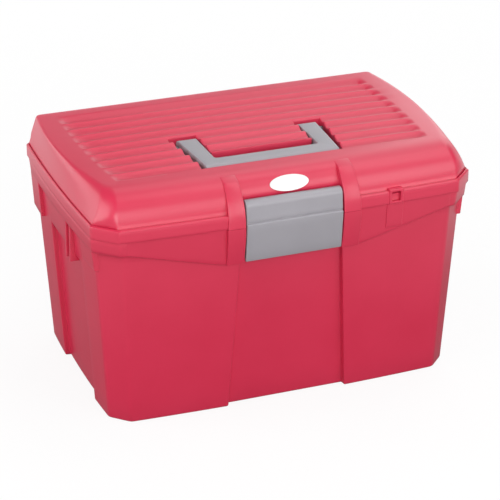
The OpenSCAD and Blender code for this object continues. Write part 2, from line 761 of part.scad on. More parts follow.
module latch() {
    face_y = latch_axis_y + latch_roll_r;
    color(GREY) difference() {
        union() {
            bar_x(-latch_half, latch_half, -latch_axis_y, latch_axis_z, latch_roll_r);
            along_x(-latch_half, latch_half, [
                [-face_y, latch_axis_z], [-latch_crease_y, latch_crease_z + 0.6],
                [-latch_crease_y - latch_step, latch_crease_z - 0.2], [-latch_low_y, latch_low_z],
                [-latch_low_y + latch_t, latch_low_z], [-latch_crease_y + latch_t, latch_crease_z],
                [-face_y + latch_t, latch_axis_z]]);
            along_x(8 - latch_half, latch_half - 8, [[-latch_low_y + latch_t / 2, latch_low_z + 3],
                [-latch_low_y + latch_t + 4, latch_low_z + 5], [-latch_low_y + latch_t + 4, latch_low_z + 7],
                [-latch_low_y + latch_t / 2, latch_low_z + 10]]);
            both_sides() along_x(latch_half - latch_t, latch_half, [[-latch_low_y + latch_t / 2, latch_low_z],
                [-latch_low_y + latch_t + 4, latch_low_z + 4], [-latch_axis_y, latch_axis_z],
                [-face_y + 1, latch_axis_z], [-latch_crease_y + latch_t / 2, latch_crease_z]]);
        }
        bar_x(-latch_half - 1, latch_half + 1, -latch_axis_y, latch_axis_z, latch_pin_r + run_clear);
    }
}

module latch_pin() {
    color(STEEL) bar_x(-latch_pin_end, latch_pin_end, -latch_axis_y, latch_axis_z, latch_pin_r);
}

module badge() {
    color(WHITE) translate([0, -badge_y, badge_z]) rotate([badge_slope, 0, 0])
        translate([0, 0, 0.02]) scale([1, badge_h / badge_l, 1]) cylinder(h = badge_t, r = badge_l / 2);
}

// Outline of the tray's walls at the fraction t from the floor to the rim, moved inwards
function tray_plan(t, inset) = let (
    z = mix(tray_z, tray_rim_z, t),
    w = base_w / 2 + wall_lean * z - wall_t - tray_inset - mix(tray_draft, 0, t) - inset,
    f = tray_front - mix(tray_draft * 0.6, 0, t) - inset,
    r = base_rear + wall_lean * z - 2 * wall_t - mix(tray_draft * 0.6, 0, t) - inset
) plan(w, w, f, r, base_chamfer, base_chamfer, 0.6, 0.6);

module tray() {
    rim_out = collar_at(tray_rim_z) - wall_t - tray_gap;
    web_low = tray_z + tray_t / 2;
    hole_z = web_z - 6 - hand_hole_h / 2;
    color(TRAY_GREY) difference() {
        union() {
            difference() {
                union() {
                    loft([ring(tray_plan(0, 0), tray_z), ring(tray_plan(1, 0), tray_rim_z + tray_rim_t)]);
                    intersection() {
                        loft([for (z = [tray_rim_z, tray_rim_z + tray_rim_t])
                            ring(wall_plan(z, rim_out), z)]);
                        translate([-FAR, -tray_front - 2, 0]) cube(2 * FAR);
                    }
                }
                loft([ring(tray_plan(0, tray_t), tray_z + tray_t),
                    ring(tray_plan(1.1, tray_t), mix(tray_z, tray_rim_z, 1.1))]);
            }
            intersection() {
                loft([ring(tray_plan(0, tray_t / 2), tray_z), ring(tray_plan(1, tray_t / 2), tray_rim_z)]);
                union() {
                    for (x = [-partition_x, partition_x])
                        translate([x - tray_t / 2, 0, web_low]) cube([tray_t, FAR, tray_rim_z - web_low - 6]);
                    translate([partition_x - tray_t / 2, -FAR, web_low])
                        cube([tray_t, FAR, tray_rim_z - web_low - 6]);
                    translate([-FAR, -tray_t / 2, web_low]) cube([2 * FAR, tray_t, tray_rim_z - web_low - 2]);
                }
            }
            translate([0, tray_t / 2 + 0.4, 0]) rotate([90, 0, 0]) linear_extrude(tray_t + 0.8) polygon([
                [-web_half - 14, web_low], [-web_half - 14, tray_rim_z - 4], [-web_half + 8, web_z],
                [web_half - 8, web_z], [web_half + 14, tray_rim_z - 4], [web_half + 14, web_low]]);
        }
        translate([-hand_hole_l / 2, -5, hole_z - hand_hole_h / 2]) cube([hand_hole_l, 10, hand_hole_h]);
    }
}

tub();
lid();
hinge_pin_left();
hinge_pin_right();
carry_handle();
handle_pin_left();
handle_pin_right();
latch();
latch_pin();
badge();
tray();
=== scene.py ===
# %% [markdown]
# # A moulded grooming box, dressed for its portrait
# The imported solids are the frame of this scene: they say where everything is and how it moves. On top of them,
# each moulding is drawn again as a fine surface with rounded edges, so that light runs along its lips, ribs and
# lugs. Lengths below are in millimetres; the mesh helper turns them to metres.

import math

import bmesh
import bpy
import numpy as np
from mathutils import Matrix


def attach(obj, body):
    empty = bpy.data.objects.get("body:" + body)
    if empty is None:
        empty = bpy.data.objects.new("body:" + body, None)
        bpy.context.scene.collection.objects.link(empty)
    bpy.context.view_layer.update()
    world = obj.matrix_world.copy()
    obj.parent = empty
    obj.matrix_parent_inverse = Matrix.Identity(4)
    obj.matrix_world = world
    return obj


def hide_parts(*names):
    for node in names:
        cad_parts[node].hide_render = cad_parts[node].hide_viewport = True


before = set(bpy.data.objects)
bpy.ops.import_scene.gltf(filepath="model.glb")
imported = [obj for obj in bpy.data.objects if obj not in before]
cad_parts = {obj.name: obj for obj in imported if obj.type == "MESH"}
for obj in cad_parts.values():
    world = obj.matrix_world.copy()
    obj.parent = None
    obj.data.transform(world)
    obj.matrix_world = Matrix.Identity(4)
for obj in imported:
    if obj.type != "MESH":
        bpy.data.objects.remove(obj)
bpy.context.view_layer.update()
MM = 0.001

# %% [markdown]
# ## From arrays to a mesh
# A surface is a grid of points, row by row. Neighbouring rows are joined by four-sided faces, and several such
# grids, called shells here, can make up one piece. Merging the points that fall together closes the seams.
# Smooth shading is kept below an angle, so that rounded edges shine and true corners stay crisp.


# %% Grids and shells
def quads(rows, cols, wrap=True):
    """Faces of a grid: each cell joins point (i, j) to (i, j+1), (i+1, j+1), (i+1, j); wrap closes each row."""
    i, j = np.meshgrid(np.arange(rows - 1), np.arange(cols if wrap else cols - 1), indexing="ij")
    k = (j + 1) % cols
    faces = np.stack([i * cols + j, i * cols + k, (i + 1) * cols + k, (i + 1) * cols + j], -1)
    return faces.reshape(-1, 4).tolist()


def grid_shell(points, wrap=True, flip=False):
    """Shell of an array of rows x columns x 3 points; flip turns its faces round."""
    rows, cols = points.shape[:2]
    faces = quads(rows, cols, wrap)
    if flip:
        faces = [f[::-1] for f in faces]
    return points.reshape(-1, 3), faces


def capped_shell(points):
    """Stack of closed rows whose first and last rows are closed by one flat face each."""
    flat, faces = grid_shell(points)
    rows, cols = points.shape[:2]
    first = list(range(cols))[::-1]
    last = list(range((rows - 1) * cols, rows * cols))
    return flat, faces + [first, last]


def fan_shell(row, centre, up):
    """Triangles from a closed row of points to one centre; up says which way they face."""
    n = len(row)
    j = np.arange(n)
    k = (j + 1) % n
    order = (np.full(n, n), j, k) if up else (np.full(n, n), k, j)
    return np.vstack([row, centre]), np.stack(order, -1).tolist()


def mirrored(shell):
    """The same shell on the left: X changes sign and the faces turn round."""
    points, faces = shell
    return np.asarray(points) * [-1, 1, 1], [f[::-1] for f in faces]


# %% One object from its shells
def new_object(name, data):
    """A new object in the scene that shows the data."""
    thing = bpy.data.objects.new(name, data)
    bpy.context.scene.collection.objects.link(thing)
    return thing


def make_piece(name, shells, body, smooth=40, merge=0.002):
    """One object from shells given in millimetres: points are joined where they meet and edges sharper
    than smooth degrees stay sharp."""
    points, faces, start = [], [], 0
    for shell_points, shell_faces in shells:
        points.append(np.asarray(shell_points, float))
        faces += [[start + v for v in face] for face in shell_faces]
        start += len(shell_points)
    mesh = bpy.data.meshes.new(name)
    mesh.from_pydata((np.vstack(points) * MM).tolist(), [], faces)
    work = bmesh.new()
    work.from_mesh(mesh)
    bmesh.ops.remove_doubles(work, verts=work.verts, dist=merge * MM)
    bmesh.ops.dissolve_degenerate(work, edges=work.edges, dist=merge * MM)
    work.to_mesh(mesh)
    work.free()
    mesh.shade_smooth()
    mesh.set_sharp_from_angle(angle=math.radians(smooth))
    piece = new_object(name, mesh)
    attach(piece, body)
    print(f"{name}: {len(mesh.vertices)} points, {len(mesh.polygons)} faces")
    return piece


# %% [markdown]
# ### Blends and rounded outlines
# Most shapes below are an outline carried along. A bevel modifier could round their edges, but only with one width
# everywhere. So the rounding is in the outlines: a corner becomes a small parabola, and the end of a bar is the
# outline moved in by a quarter circle.


# %% Blends
def mix(a, b, t):
    """The value at the fraction t of the way from a to b."""
    return a + (b - a) * t


def ease(t):
    """Smooth step: 0 below 0, 1 above 1, and level at both ends."""
    t = np.clip(t, 0, 1)
    return t * t * (3 - 2 * t)


# %% Rounded corners and insets
def soften(path, radii):
    """Closed plan outline with each corner of a radius over 0 replaced by a small parabola of 5 points that
    starts and ends that far from the corner. path is heights x corners x 2."""
    count = path.shape[1]
    s = np.linspace(0, 1, 5)[None, :, None]
    out = []
    for i, radius in enumerate(radii):
        here = path[:, i]
        if radius == 0:
            out.append(here[:, None])
            continue
        ends = []
        for other in (path[:, i - 1], path[:, (i + 1) % count]):
            step = other - here
            length = np.linalg.norm(step, axis=1, keepdims=True)
            ends.append(here + step / np.maximum(length, 1e-6) * np.minimum(radius, 0.45 * length))
        out.append((1 - s) ** 2 * ends[0][:, None] + 2 * s * (1 - s) * here[:, None] + s**2 * ends[1][:, None])
    return np.concatenate(out, axis=1)


def inset_loop(loop, distance):
    """Closed outline of points moved inwards: each point goes along the mitre of its two edges' normals."""
    edges = loop - np.roll(loop, 1, 0)
    length = np.linalg.norm(edges, axis=1, keepdims=True)
    before = np.stack([-edges[:, 1], edges[:, 0]], -1) / np.maximum(length, 1e-9)
    after = np.roll(before, -1, 0)
    mitre = (before + after) / np.maximum(1 + np.sum(before * after, axis=1, keepdims=True), 0.3)
    return loop + mitre * np.asarray(distance).reshape(-1, 1)


# %% Bars with rounded ends
def quarter_round(radius):
    """Four steps of a quarter circle: the distance of each from the end, and how far it is moved in there."""
    a = np.radians([0, 30, 60, 90])
    return radius * (1 - np.sin(a)), radius * (1 - np.cos(a))


def level(value):
    """A function that gives the same value everywhere."""
    return lambda u: np.full_like(u, value)


def sweep_x(profile, x0, x1, edge=0.5):
    """A [y, z] profile carried along X from x0 to x1, with rounded ends: rows near each end are the profile
    moved in by a quarter circle. x0 and x1 are numbers or functions of the height."""
    loop = np.asarray(profile, float)
    area = np.sum(loop[:, 0] * np.roll(loop[:, 1], -1) - np.roll(loop[:, 0], -1) * loop[:, 1])
    loop = loop if area > 0 else loop[::-1]
    low, high = (x if callable(x) else level(x) for x in (x0, x1))
    steps = list(zip(*quarter_round(edge)))
    rows = []
    for end, step, inset in [(low, s, i) for s, i in reversed(steps)] + [(high, -s, i) for s, i in steps]:
        p = inset_loop(loop, inset)
        rows.append(np.column_stack([end(p[:, 1]) + step, p]))
    return capped_shell(np.stack(rows))


# %% [markdown]
# ## Camera
# The camera was worked out from the picture's straight edges and corners: about two metres away, a little to
# the left and about 25 degrees above the box. A long lens keeps the perspective gentle.

# %% Camera
AIM = np.array([6.16, 0.0, 108.93])
AZIMUTH, ELEVATION, DISTANCE = math.radians(-20.928), math.radians(24.695), 2119.9
FOCAL_PIXELS, FRAME_PIXELS, SENSOR = 2048.72, 500, 36.0
level_part = math.cos(ELEVATION)
away = np.array([math.sin(AZIMUTH) * level_part, -math.cos(AZIMUTH) * level_part, math.sin(ELEVATION)])
camera_data = bpy.data.cameras.new("camera")
camera_data.sensor_width = SENSOR
camera_data.lens = FOCAL_PIXELS / FRAME_PIXELS * SENSOR
camera_data.clip_end = 50
camera = new_object("camera", camera_data)
camera.location = (AIM + away * DISTANCE) * MM
camera.rotation_euler = (math.pi / 2 - ELEVATION, 0, AZIMUTH)
bpy.context.scene.camera = camera
print("lens:", round(camera_data.lens, 1), "mm")

# %% [markdown]
# ## Finishes
# The box is polypropylene, coloured in the mass and moulded in a lightly grained steel tool. That gives a
# satin skin: a broad, soft sheen, slightly mottled where the melt flowed, with a grain of a few tenths of a
# millimetre. The handle, latch and tray are the same plastic in grey. The pins are drawn steel wire, their grey
# darkened past bright steel: painted shade for the shadow they sit in. A picture could carry the grain, but
# noise on Object coordinates needs no file and has a size in millimetres.


# %% Material helpers
def linear(hex_colour):
    """sRGB hex to linear RGBA: c / 12.92 up to 0.04045, else ((c + 0.055) / 1.055) to the power 2.4."""
    c = np.array([int(hex_colour[i : i + 2], 16) for i in (1, 3, 5)]) / 255
    c = np.where(c <= 0.04045, c / 12.92, ((c + 0.055) / 1.055) ** 2.4)
    return (*c.tolist(), 1.0)


def add(tree, kind, inputs=None, **settings):
    """Adds a node: settings are its attributes; inputs are values, or (node, output) links, by socket name."""
    node = tree.nodes.new(kind)
    for name, value in settings.items():
        setattr(node, name, value)
    for name, value in (inputs or {}).items():
        if isinstance(value, tuple) and isinstance(value[0], bpy.types.Node):
            tree.links.new(value[0].outputs[value[1]], node.inputs[name])
        else:
            node.inputs[name].default_value = value
    return node


def new_material(name):
    """A material with an empty node tree and its output node."""
    material = bpy.data.materials.new(name)
    material.use_nodes = True
    material.node_tree.nodes.clear()
    return material, material.node_tree, add(material.node_tree, "ShaderNodeOutputMaterial")


def dress(piece, material):
    """Gives a piece one material in place of any it had."""
    piece.data.materials.clear()
    piece.data.materials.append(material)
    return piece


# %% Moulded polypropylene
FLOW_M, GRAIN_MM, GRAIN_DEPTH, WANDER = 0.045, 0.7, 0.00015, 0.015


def moulded_polypropylene(name, deep, main, pale, roughness):
    """Satin plastic coloured in the mass: large soft clouds of flow mottling between three close colours, a
    fine moulded grain in the bump, and a roughness that wanders a little with the flow."""
    material, tree, output = new_material(name)
    place = add(tree, "ShaderNodeTexCoord")
    flow = add(tree, "ShaderNodeTexNoise", {
        "Vector": (place, "Object"), "Scale": 1 / FLOW_M, "Detail": 3.0, "Roughness": 0.55})
    colour = add(tree, "ShaderNodeValToRGB", {"Fac": (flow, "Fac")})
    ramp = colour.color_ramp
    ramp.elements[0].position, ramp.elements[0].color = 0.30, linear(deep)
    ramp.elements[1].position, ramp.elements[1].color = 0.72, linear(pale)
    ramp.elements.new(0.5).color = linear(main)
    # A real moulding grain is about 0.1 mm; it is drawn coarser here so that it still shows at this size.
    fine = add(tree, "ShaderNodeTexNoise", {"Vector": (place, "Object"), "Scale": 1 / (GRAIN_MM * MM), "Detail": 2.0})
    bump = add(tree, "ShaderNodeBump", {"Height": (fine, "Fac"), "Strength": 0.06, "Distance": GRAIN_DEPTH})
    wander = add(tree, "ShaderNodeMapRange", {
        "Value": (flow, "Fac"), "From Min": 0.3, "From Max": 0.7,
        "To Min": roughness - WANDER, "To Max": roughness + WANDER})
    skin = add(tree, "ShaderNodeBsdfPrincipled", {
        "Base Color": (colour, "Color"), "Roughness": (wander, "Result"), "IOR": 1.53,
        "Specular IOR Level": 0.5, "Normal": (bump, "Normal")})
    tree.links.new(skin.outputs["BSDF"], output.inputs["Surface"])
    return material


PINK_PLASTIC = moulded_polypropylene("raspberry_polypropylene", "#CA2948", "#CC2B4A", "#CE2D4C", 0.31)
GREY_PLASTIC = moulded_polypropylene("grey_polypropylene", "#969399", "#98959B", "#9A979D", 0.34)
TRAY_PLASTIC = moulded_polypropylene("tray_polypropylene", "#99989C", "#9D9CA0", "#A1A0A4", 0.46)
print("plastics:", [m.name for m in (PINK_PLASTIC, GREY_PLASTIC, TRAY_PLASTIC)])


# %% Drawn steel wire
def drawn_steel(name):
    """Steel wire: metallic, with draw lines 0.4 mm apart in the roughness, stretched 40 times along X. Its grey is
    darker than bright steel: painted shade for pins that sit in shadow.
    """
    material, tree, output = new_material(name)
    place = add(tree, "ShaderNodeTexCoord")
    stretch = add(tree, "ShaderNodeMapping", {"Vector": (place, "Object"), "Scale": (0.025, 1.0, 1.0)})
    lines = add(tree, "ShaderNodeTexNoise", {"Vector": (stretch, "Vector"), "Scale": 1 / 0.0004, "Detail": 2.0})
    rough = add(tree, "ShaderNodeMapRange", {"Value": (lines, "Fac"), "To Min": 0.34, "To Max": 0.5})
    # Painted shade: this grey is darker than bright steel, for pins that sit in shadow.
    bright = add(tree, "ShaderNodeBsdfPrincipled", {
        "Base Color": linear("#7E7F82"), "Metallic": 1.0, "Roughness": (rough, "Result")})
    tree.links.new(bright.outputs["BSDF"], output.inputs["Surface"])
    return material


STEEL_WIRE_PAINTED_SHADE = drawn_steel("drawn_steel_wire_painted_shade")
print("pins:", STEEL_WIRE_PAINTED_SHADE.name)


# %% White vinyl of the badge
def glossy_vinyl(name):
    """White vinyl under a clear gel: even white with a faint orange-peel, 3 mm across, in a glossy coat."""
    material, tree, output = new_material(name)
    place = add(tree, "ShaderNodeTexCoord")
    peel = add(tree, "ShaderNodeTexNoise", {"Vector": (place, "Object"), "Scale": 1 / 0.003, "Detail": 1.0})
    bump = add(tree, "ShaderNodeBump", {"Height": (peel, "Fac"), "Strength": 0.05, "Distance": 0.0002})
    tone = add(tree, "ShaderNodeValToRGB", {"Fac": (peel, "Fac")})
    tone.color_ramp.elements[0].color = linear("#E0E4E1")
    tone.color_ramp.elements[1].color = linear("#E6EAE7")
    gel = add(tree, "ShaderNodeBsdfPrincipled", {
        "Base Color": (tone, "Color"), "Roughness": 0.25, "IOR": 1.5,
        "Coat Weight": 0.4, "Coat Roughness": 0.08, "Normal": (bump, "Normal")})
    tree.links.new(gel.outputs["BSDF"], output.inputs["Surface"])
    return material


WHITE_VINYL = glossy_vinyl("white_vinyl")
print("badge:", WHITE_VINYL.name)

# %% [markdown]
# ## Tub
# The tub is one moulding: walls that lean out so that it leaves the tool, bowed faces that resist denting,
# chamfered corners, and sunk panels at the front and the ends. Booleans could cut it from blocks, but every cut
# would need its own bevel. Its plan always has the same corners in the same order, so the whole skin, outside and
# inside, is one stack of outlines with the rounding in them.

# %% Tub walls
BASE_HALF, BASE_FRONT, BASE_REAR = 180.8, 116.0, 114.0
LEAN, SEAM_Z, WALL = 0.0577, 201.0, 2.6
SIDE_BOW, FRONT_BOW = 3.1, 4.6
BASE_CHAMFER, RIM_CHAMFER = 17.2, 22.0
COLLAR_Z, COLLAR_OUT, COLLAR_LEAN = 186.0, 4.2, 0.036


def collar_at(z):
    """How far the collar stands out from the wall at a height: COLLAR_OUT at the seam and less below it."""
    return COLLAR_OUT - COLLAR_LEAN * (SEAM_Z - z)


def wall_front(x, z, out=0.0):
    """Y of the front wall at x: the leaning wall plus a parabolic bow between the chamfers."""
    lean = LEAN * z + out
    half = BASE_HALF + lean - mix(BASE_CHAMFER, RIM_CHAMFER, z / SEAM_Z)
    return -(BASE_FRONT + lean) - FRONT_BOW * (1 - (x / half) ** 2)


def wall_side(y, z, out=0.0):
    """X of the right end wall at y: the leaning wall plus a parabolic bow between the chamfers."""
    lean = LEAN * z + out
    c = mix(BASE_CHAMFER, RIM_CHAMFER, z / SEAM_Z)
    y0, y1 = c - BASE_FRONT - lean, BASE_REAR + lean - c
    t = (2 * y - y0 - y1) / (y1 - y0)
    return BASE_HALF + lean + SIDE_BOW * (1 - t**2)


print("front wall at base and seam:", [round(wall_front(0, z), 1) for z in (0, SEAM_Z)])

# %% Corners of the tub's outline
LATCH_LOW_Z, CHANNEL_HALF = 163.2, 50.7
PANEL_DEPTH, PANEL_HALF, PANEL_DRAFT = 7.2, ([0, LATCH_LOW_Z, 210], [61.8, 52.6, CHANNEL_HALF]), 0.8
END_DEPTH, END_FRONT, END_REAR, END_DRAFT = 5.6, -58.5, 44.0, 0.9
END_FADE_Z, END_FADE = 145, 11
CORNER_ROUND, PANEL_EDGE, PANEL_FOOT = 3.0, 1.2, 1.6


def tub_corners(z, out, grow):
    """Right half of the plan at heights z, from the middle of the front to the middle of the back: a list of
    corners and a list of their rounding. The walls are moved out by out and the panels made larger by grow."""
    lean = LEAN * z + out
    c = mix(BASE_CHAMFER, RIM_CHAMFER, z / SEAM_Z)
    hw, front, rear = BASE_HALF + lean, BASE_FRONT + lean, BASE_REAR + lean
    nx, y0, y1 = hw - c, c - front, rear - c
    half = np.interp(z, *PANEL_HALF) + grow
    floor_y = PANEL_DEPTH - BASE_FRONT - LEAN * z - FRONT_BOW + grow
    depth = END_DEPTH * (1 - ease((z - END_FADE_Z) / END_FADE))
    corners, radii = [], []

    def corner(x, y, radius=0.0):
        corners.append(np.stack(np.broadcast_arrays(x, y), -1) * np.ones((len(z), 1)))
        radii.append(radius)

    def on_end(y, sunk=0.0, radius=0.0, shift=0.0):
        corner(wall_side(y, z, out) - sunk, y + shift, radius)

    corner(0 * z, floor_y)
    corner(half * 0.5, floor_y)
    corner(half, floor_y, PANEL_FOOT)
    corner(half + PANEL_DRAFT, wall_front(half + PANEL_DRAFT, z, out), PANEL_EDGE)
    for t in np.linspace(0, 1, 10)[1:-1]:
        corner(mix(half, nx, t), wall_front(mix(half, nx, t), z, out))
    corner(nx, -front, CORNER_ROUND)
    corner(hw, y0, CORNER_ROUND)
    panel0, panel1 = END_FRONT - grow, END_REAR + grow
    for t in (0.25, 0.5, 0.75):
        on_end(mix(y0, panel0, t))
    on_end(panel0, 0.0, PANEL_EDGE)
    on_end(panel0, depth, PANEL_FOOT, END_DRAFT)
    for t in np.linspace(0, 1, 8)[1:-1]:
        on_end(mix(panel0, panel1, t), depth)
    on_end(panel1, depth, PANEL_FOOT, -END_DRAFT)
    on_end(panel1, 0.0, PANEL_EDGE)
    for t in (0.25, 0.5, 0.75):
        on_end(mix(panel1, y1, t))
    corner(hw, y1, CORNER_ROUND)
    corner(nx, rear, CORNER_ROUND)
    for t in (0.75, 0.5, 0.25, 0):
        corner(nx * t, rear)
    return corners, radii


# %% Whole outlines of the tub
def tub_rings(z, out, grow):
    """Whole rounded outlines at heights z: the right half, then its mirror image without the two middle points."""
    z, out, grow = (np.asarray(v, float) for v in (z, out, grow))
    corners, radii = tub_corners(z, out, grow)
    left = [np.array([-1, 1]) * p for p in corners[-2:0:-1]]
    plan = soften(np.stack(corners + left, axis=1), radii + radii[-2:0:-1])
    return np.concatenate([plan, np.broadcast_to(z[:, None, None], (*plan.shape[:2], 1))], axis=-1)


# %% Tub skin
# Rows: height, how far out, and how much larger the panels' cut-outs are, so that their backs stand in inside
FOOT_H, FOOT_W, FLOOR_T = 1.6, 16.0, 3.0
rim = collar_at(SEAM_Z)
under = [(FOOT_H, -FOOT_W - 0.8, FOOT_W + 0.8), (0, -FOOT_W, FOOT_W), (0, -2, 2), (0.3, -0.9, 0.9), (1, -0.25, 0.25)]
rise = [(z, 0, 0) for z in (2.2, 25, 50, 75, 100, 125, 145, 146.5, 148, 149.5, 151, 152.5, 154, 156, 166, 176, 185.4)]
step = [(185.8, 0.12, 0), (186.0, 0.5, 0), (186.0, 2.9, 0), (186.2, 3.4, 0)]
collar = [(z, collar_at(z), 0) for z in (186.8, 190, 195, 200.2)]
lip = [(200.75, rim - 0.2, 0.1), (201, rim - 0.7, 0.4), (201, rim - WALL + 0.6, WALL - 0.6), (200.6, rim - WALL, WALL)]
inside = [(z, collar_at(z) - WALL, WALL) for z in (194, 187)]
inside += [(186, collar_at(186) - WALL - 0.4, WALL), (186, -WALL + 0.4, WALL)]
inside += [(z, -WALL, WALL) for z in (185.4, 170, 156, 154, 152, 150, 148, 146.5, 145, 110, 70, 30, 9)]
inside += [(5.5, -WALL - 0.7, WALL + 0.7), (3.8, -WALL - 2, WALL + 2), (FLOOR_T, -WALL - 5, WALL + 5)]
skin = tub_rings(*np.array(under + rise + step + collar + lip + inside).T)
underside = fan_shell(skin[0], [0, 0, FOOT_H], up=False)
tub_floor = fan_shell(skin[-1], [0, 0, FLOOR_T], up=True)
tub_shells = [grid_shell(skin), underside, tub_floor]
print("tub skin:", skin.shape)

# %% [markdown]
# ### Apron, lugs and hanging ribs
# These stand a few millimetres proud of the wall, under the collar; the apron runs up to the seam. Each is a tile
# laid on the wall: a grid over its own area whose rim rows are sunk and rounded over, so no cut is needed.

# %% Raised tiles
BURIED, SUNK = 99.0, -END_DEPTH - 0.4


def tile(u0, u1, low, high, place, lift, radius=0.7, columns=9, rows=7):
    """Grid over u from u0 to u1 and heights from low(u) to high. The lift over the wall is full inside; along
    both sides and the lower edge it falls by a quarter circle and then sinks into the wall."""
    edge, drop = quarter_round(radius)
    near = np.concatenate([[0], edge[::-1]])
    sunk = np.concatenate([[BURIED], drop[::-1]])
    u = np.concatenate([u0 + near, np.linspace(u0, u1, columns)[1:-1], (u1 - near)[::-1]])
    side_drop = np.concatenate([sunk, np.zeros(columns - 2), sunk[::-1]])
    t = np.linspace(0, 1, rows)[1:]
    base = low(u)
    z = np.concatenate([base[None] + near[:, None], mix(base[None], high, t[:, None])])
    low_drop = np.concatenate([sunk, np.zeros(rows - 1)])
    fall = np.maximum(side_drop[None, :], low_drop[:, None])
    height = np.where(fall >= BURIED, SUNK, lift(z) - fall)
    return place(np.broadcast_to(u, z.shape), z, height)


def on_front(x, z, height):
    """Point on the front wall lifted along -Y."""
    return np.stack([x, wall_front(x, z) - height, z], -1)


def on_right(y, z, height):
    """Point on the right end wall lifted along +X."""
    return np.stack([wall_side(y, z) + height, y, z], -1)


# %% Apron, socket boss, lugs and ribs
APRON_Z, APRON_START, APRON_FLAT, APRON_END = 162.0, 54.0, 72.0, 168.0
APRON_TOP, APRON_OUT = 200.4, 0.35
BOSS_X, BOSS_Z, BOSS_TOP, BOSS_OUT = (97.4, 115.4), 175.0, 200.7, 1.1
LUG_NEAR, LUG_FAR, LUG_TOP, REAR_LUG_Z, FRONT_LUG_Z, UNDER_COLLAR = 72, 107, 191, 149.0, 165.0, 0.3
HANG_Z, HANG_T, HANG_PLACES = 148.0, 3.4, (-29.4, -42.2)
# The hanging ribs' faces are about upright, so they gain on the leaning wall downwards
REAR_LUG_OUT, HANG_OUT, HANG_GAIN = 3.8, 3.2, 0.07


def apron_edge(x):
    """Height of the apron's lower edge: level beside the latch, then climbing in a straight line to the collar."""
    return np.interp(x, [APRON_START, APRON_FLAT, APRON_END], [APRON_Z, APRON_Z, COLLAR_Z + 0.8])


def lug_out(z, out, gain=0.0):
    """Lift of a lug or rib: just under the collar's face beside it, and below it out plus gain per millimetre down."""
    return np.where(z > COLLAR_Z, collar_at(z) - UNDER_COLLAR, out + gain * (COLLAR_Z - z))


apron = tile(APRON_START, APRON_END, apron_edge, APRON_TOP, on_front, lambda z: collar_at(z) + APRON_OUT,
             radius=0.9, columns=24)
boss = tile(*BOSS_X, level(BOSS_Z), BOSS_TOP, on_front, lambda z: collar_at(z) + BOSS_OUT)
rear_lug = tile(LUG_NEAR, LUG_FAR, level(REAR_LUG_Z), LUG_TOP, on_right, lambda z: lug_out(z, REAR_LUG_OUT))
front_lug = tile(-LUG_FAR, -LUG_NEAR, level(FRONT_LUG_Z), LUG_TOP, on_right, lambda z: collar_at(z) - 0.6)
ribs = [tile(y, y + HANG_T, level(HANG_Z), LUG_TOP, on_right, lambda z: lug_out(z, HANG_OUT, HANG_GAIN), columns=4)
        for y in HANG_PLACES]
pair = [grid_shell(t, wrap=False) for t in (apron, rear_lug, front_lug, *ribs)]
tub_shells += pair + [mirrored(s) for s in pair] + [grid_shell(boss, wrap=False)]
print("raised tiles:", 2 * len(pair) + 1)

# %% [markdown]
# ### Strips, catch bead and hinge knuckles
# The strips beside the latch, the bead that its hook snaps past and the knuckles at the back are straight
# bars, so each is a profile carried along X with rounded ends.

# %% Strip and catch bead
STRIP_Y, STRIP_HALF, BEAD_HALF = 139.5, 68.8, 41.7
LATCH_LOW_Y, LATCH_T, LATCH_HALF = 135.2, 2.8, 49.7
strip_side = [(-133.6, APRON_Z), (-138.9, 188), (-STRIP_Y, SEAM_Z), (-118, SEAM_Z), (-118, APRON_Z)]
tub_strip = sweep_x(strip_side, CHANNEL_HALF, STRIP_HALF, 0.6)
bead_root = PANEL_DEPTH - BASE_FRONT - LEAN * SEAM_Z - FRONT_BOW + WALL
bead_y = -LATCH_LOW_Y + LATCH_T + 4.4
bead = sweep_x([(bead_root, 172.2), (bead_y, 175.2), (bead_y, 177.2), (bead_root, 181.2)], -BEAD_HALF, BEAD_HALF, 0.5)
print("bead:", round(bead_root - bead_y, 1), "mm deep")

# %% Hinge knuckles and the finished tub
REAR_OUT, HINGE_BACK = 4.7, 4.7
RIM_REAR = BASE_REAR + LEAN * SEAM_Z + REAR_OUT
HINGE_Y, HINGE_Z, HINGE_X, HINGE_LEN = RIM_REAR + HINGE_BACK, 201.15, 125.0, 60.0
LID_KNUCKLE, KNUCKLE_R = 29.0, 4.48
WEB_Y, WEB_Z = KNUCKLE_R * 0.7, KNUCKLE_R * 0.72
around = np.radians(np.arange(0, 360, 15))
knuckle_loop = np.column_stack([HINGE_Y + KNUCKLE_R * np.cos(around), HINGE_Z + KNUCKLE_R * np.sin(around)])
side_len = (HINGE_LEN - LID_KNUCKLE) / 2 - 0.5
root = RIM_REAR - REAR_OUT - WALL / 2
tub_web = [(root, COLLAR_Z + 2), (HINGE_Y + WEB_Y, HINGE_Z - WEB_Z), (HINGE_Y, SEAM_Z), (root, SEAM_Z)]
for x0 in (HINGE_X - HINGE_LEN / 2, HINGE_X + HINGE_LEN / 2 - side_len):
    x1 = x0 + side_len
    hinge_bits = [sweep_x(knuckle_loop, x0, x1, 0.4), sweep_x(tub_web, x0 + 0.3, x1 - 0.3, 0.4)]
    tub_shells += hinge_bits + [mirrored(s) for s in hinge_bits]
tub_shells += [tub_strip, mirrored(tub_strip), bead]
tub_piece = dress(make_piece("tub_skin", tub_shells, "tub_body"), PINK_PLASTIC)
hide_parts("tub")

# %% [markdown]
# ## Lid
# The lid is a second moulding: an upright band with a lip, a barrel-fronted dome, and a top with a field of
# shallow ribs. The well for the handle is sunk into the top. A subdivided cage would blur the ribs and the well's
# rim, so the top is a grid whose lines run along every edge of the well. The dome is a stack of outlines whose
# points continue those lines, so the two meet point for point.

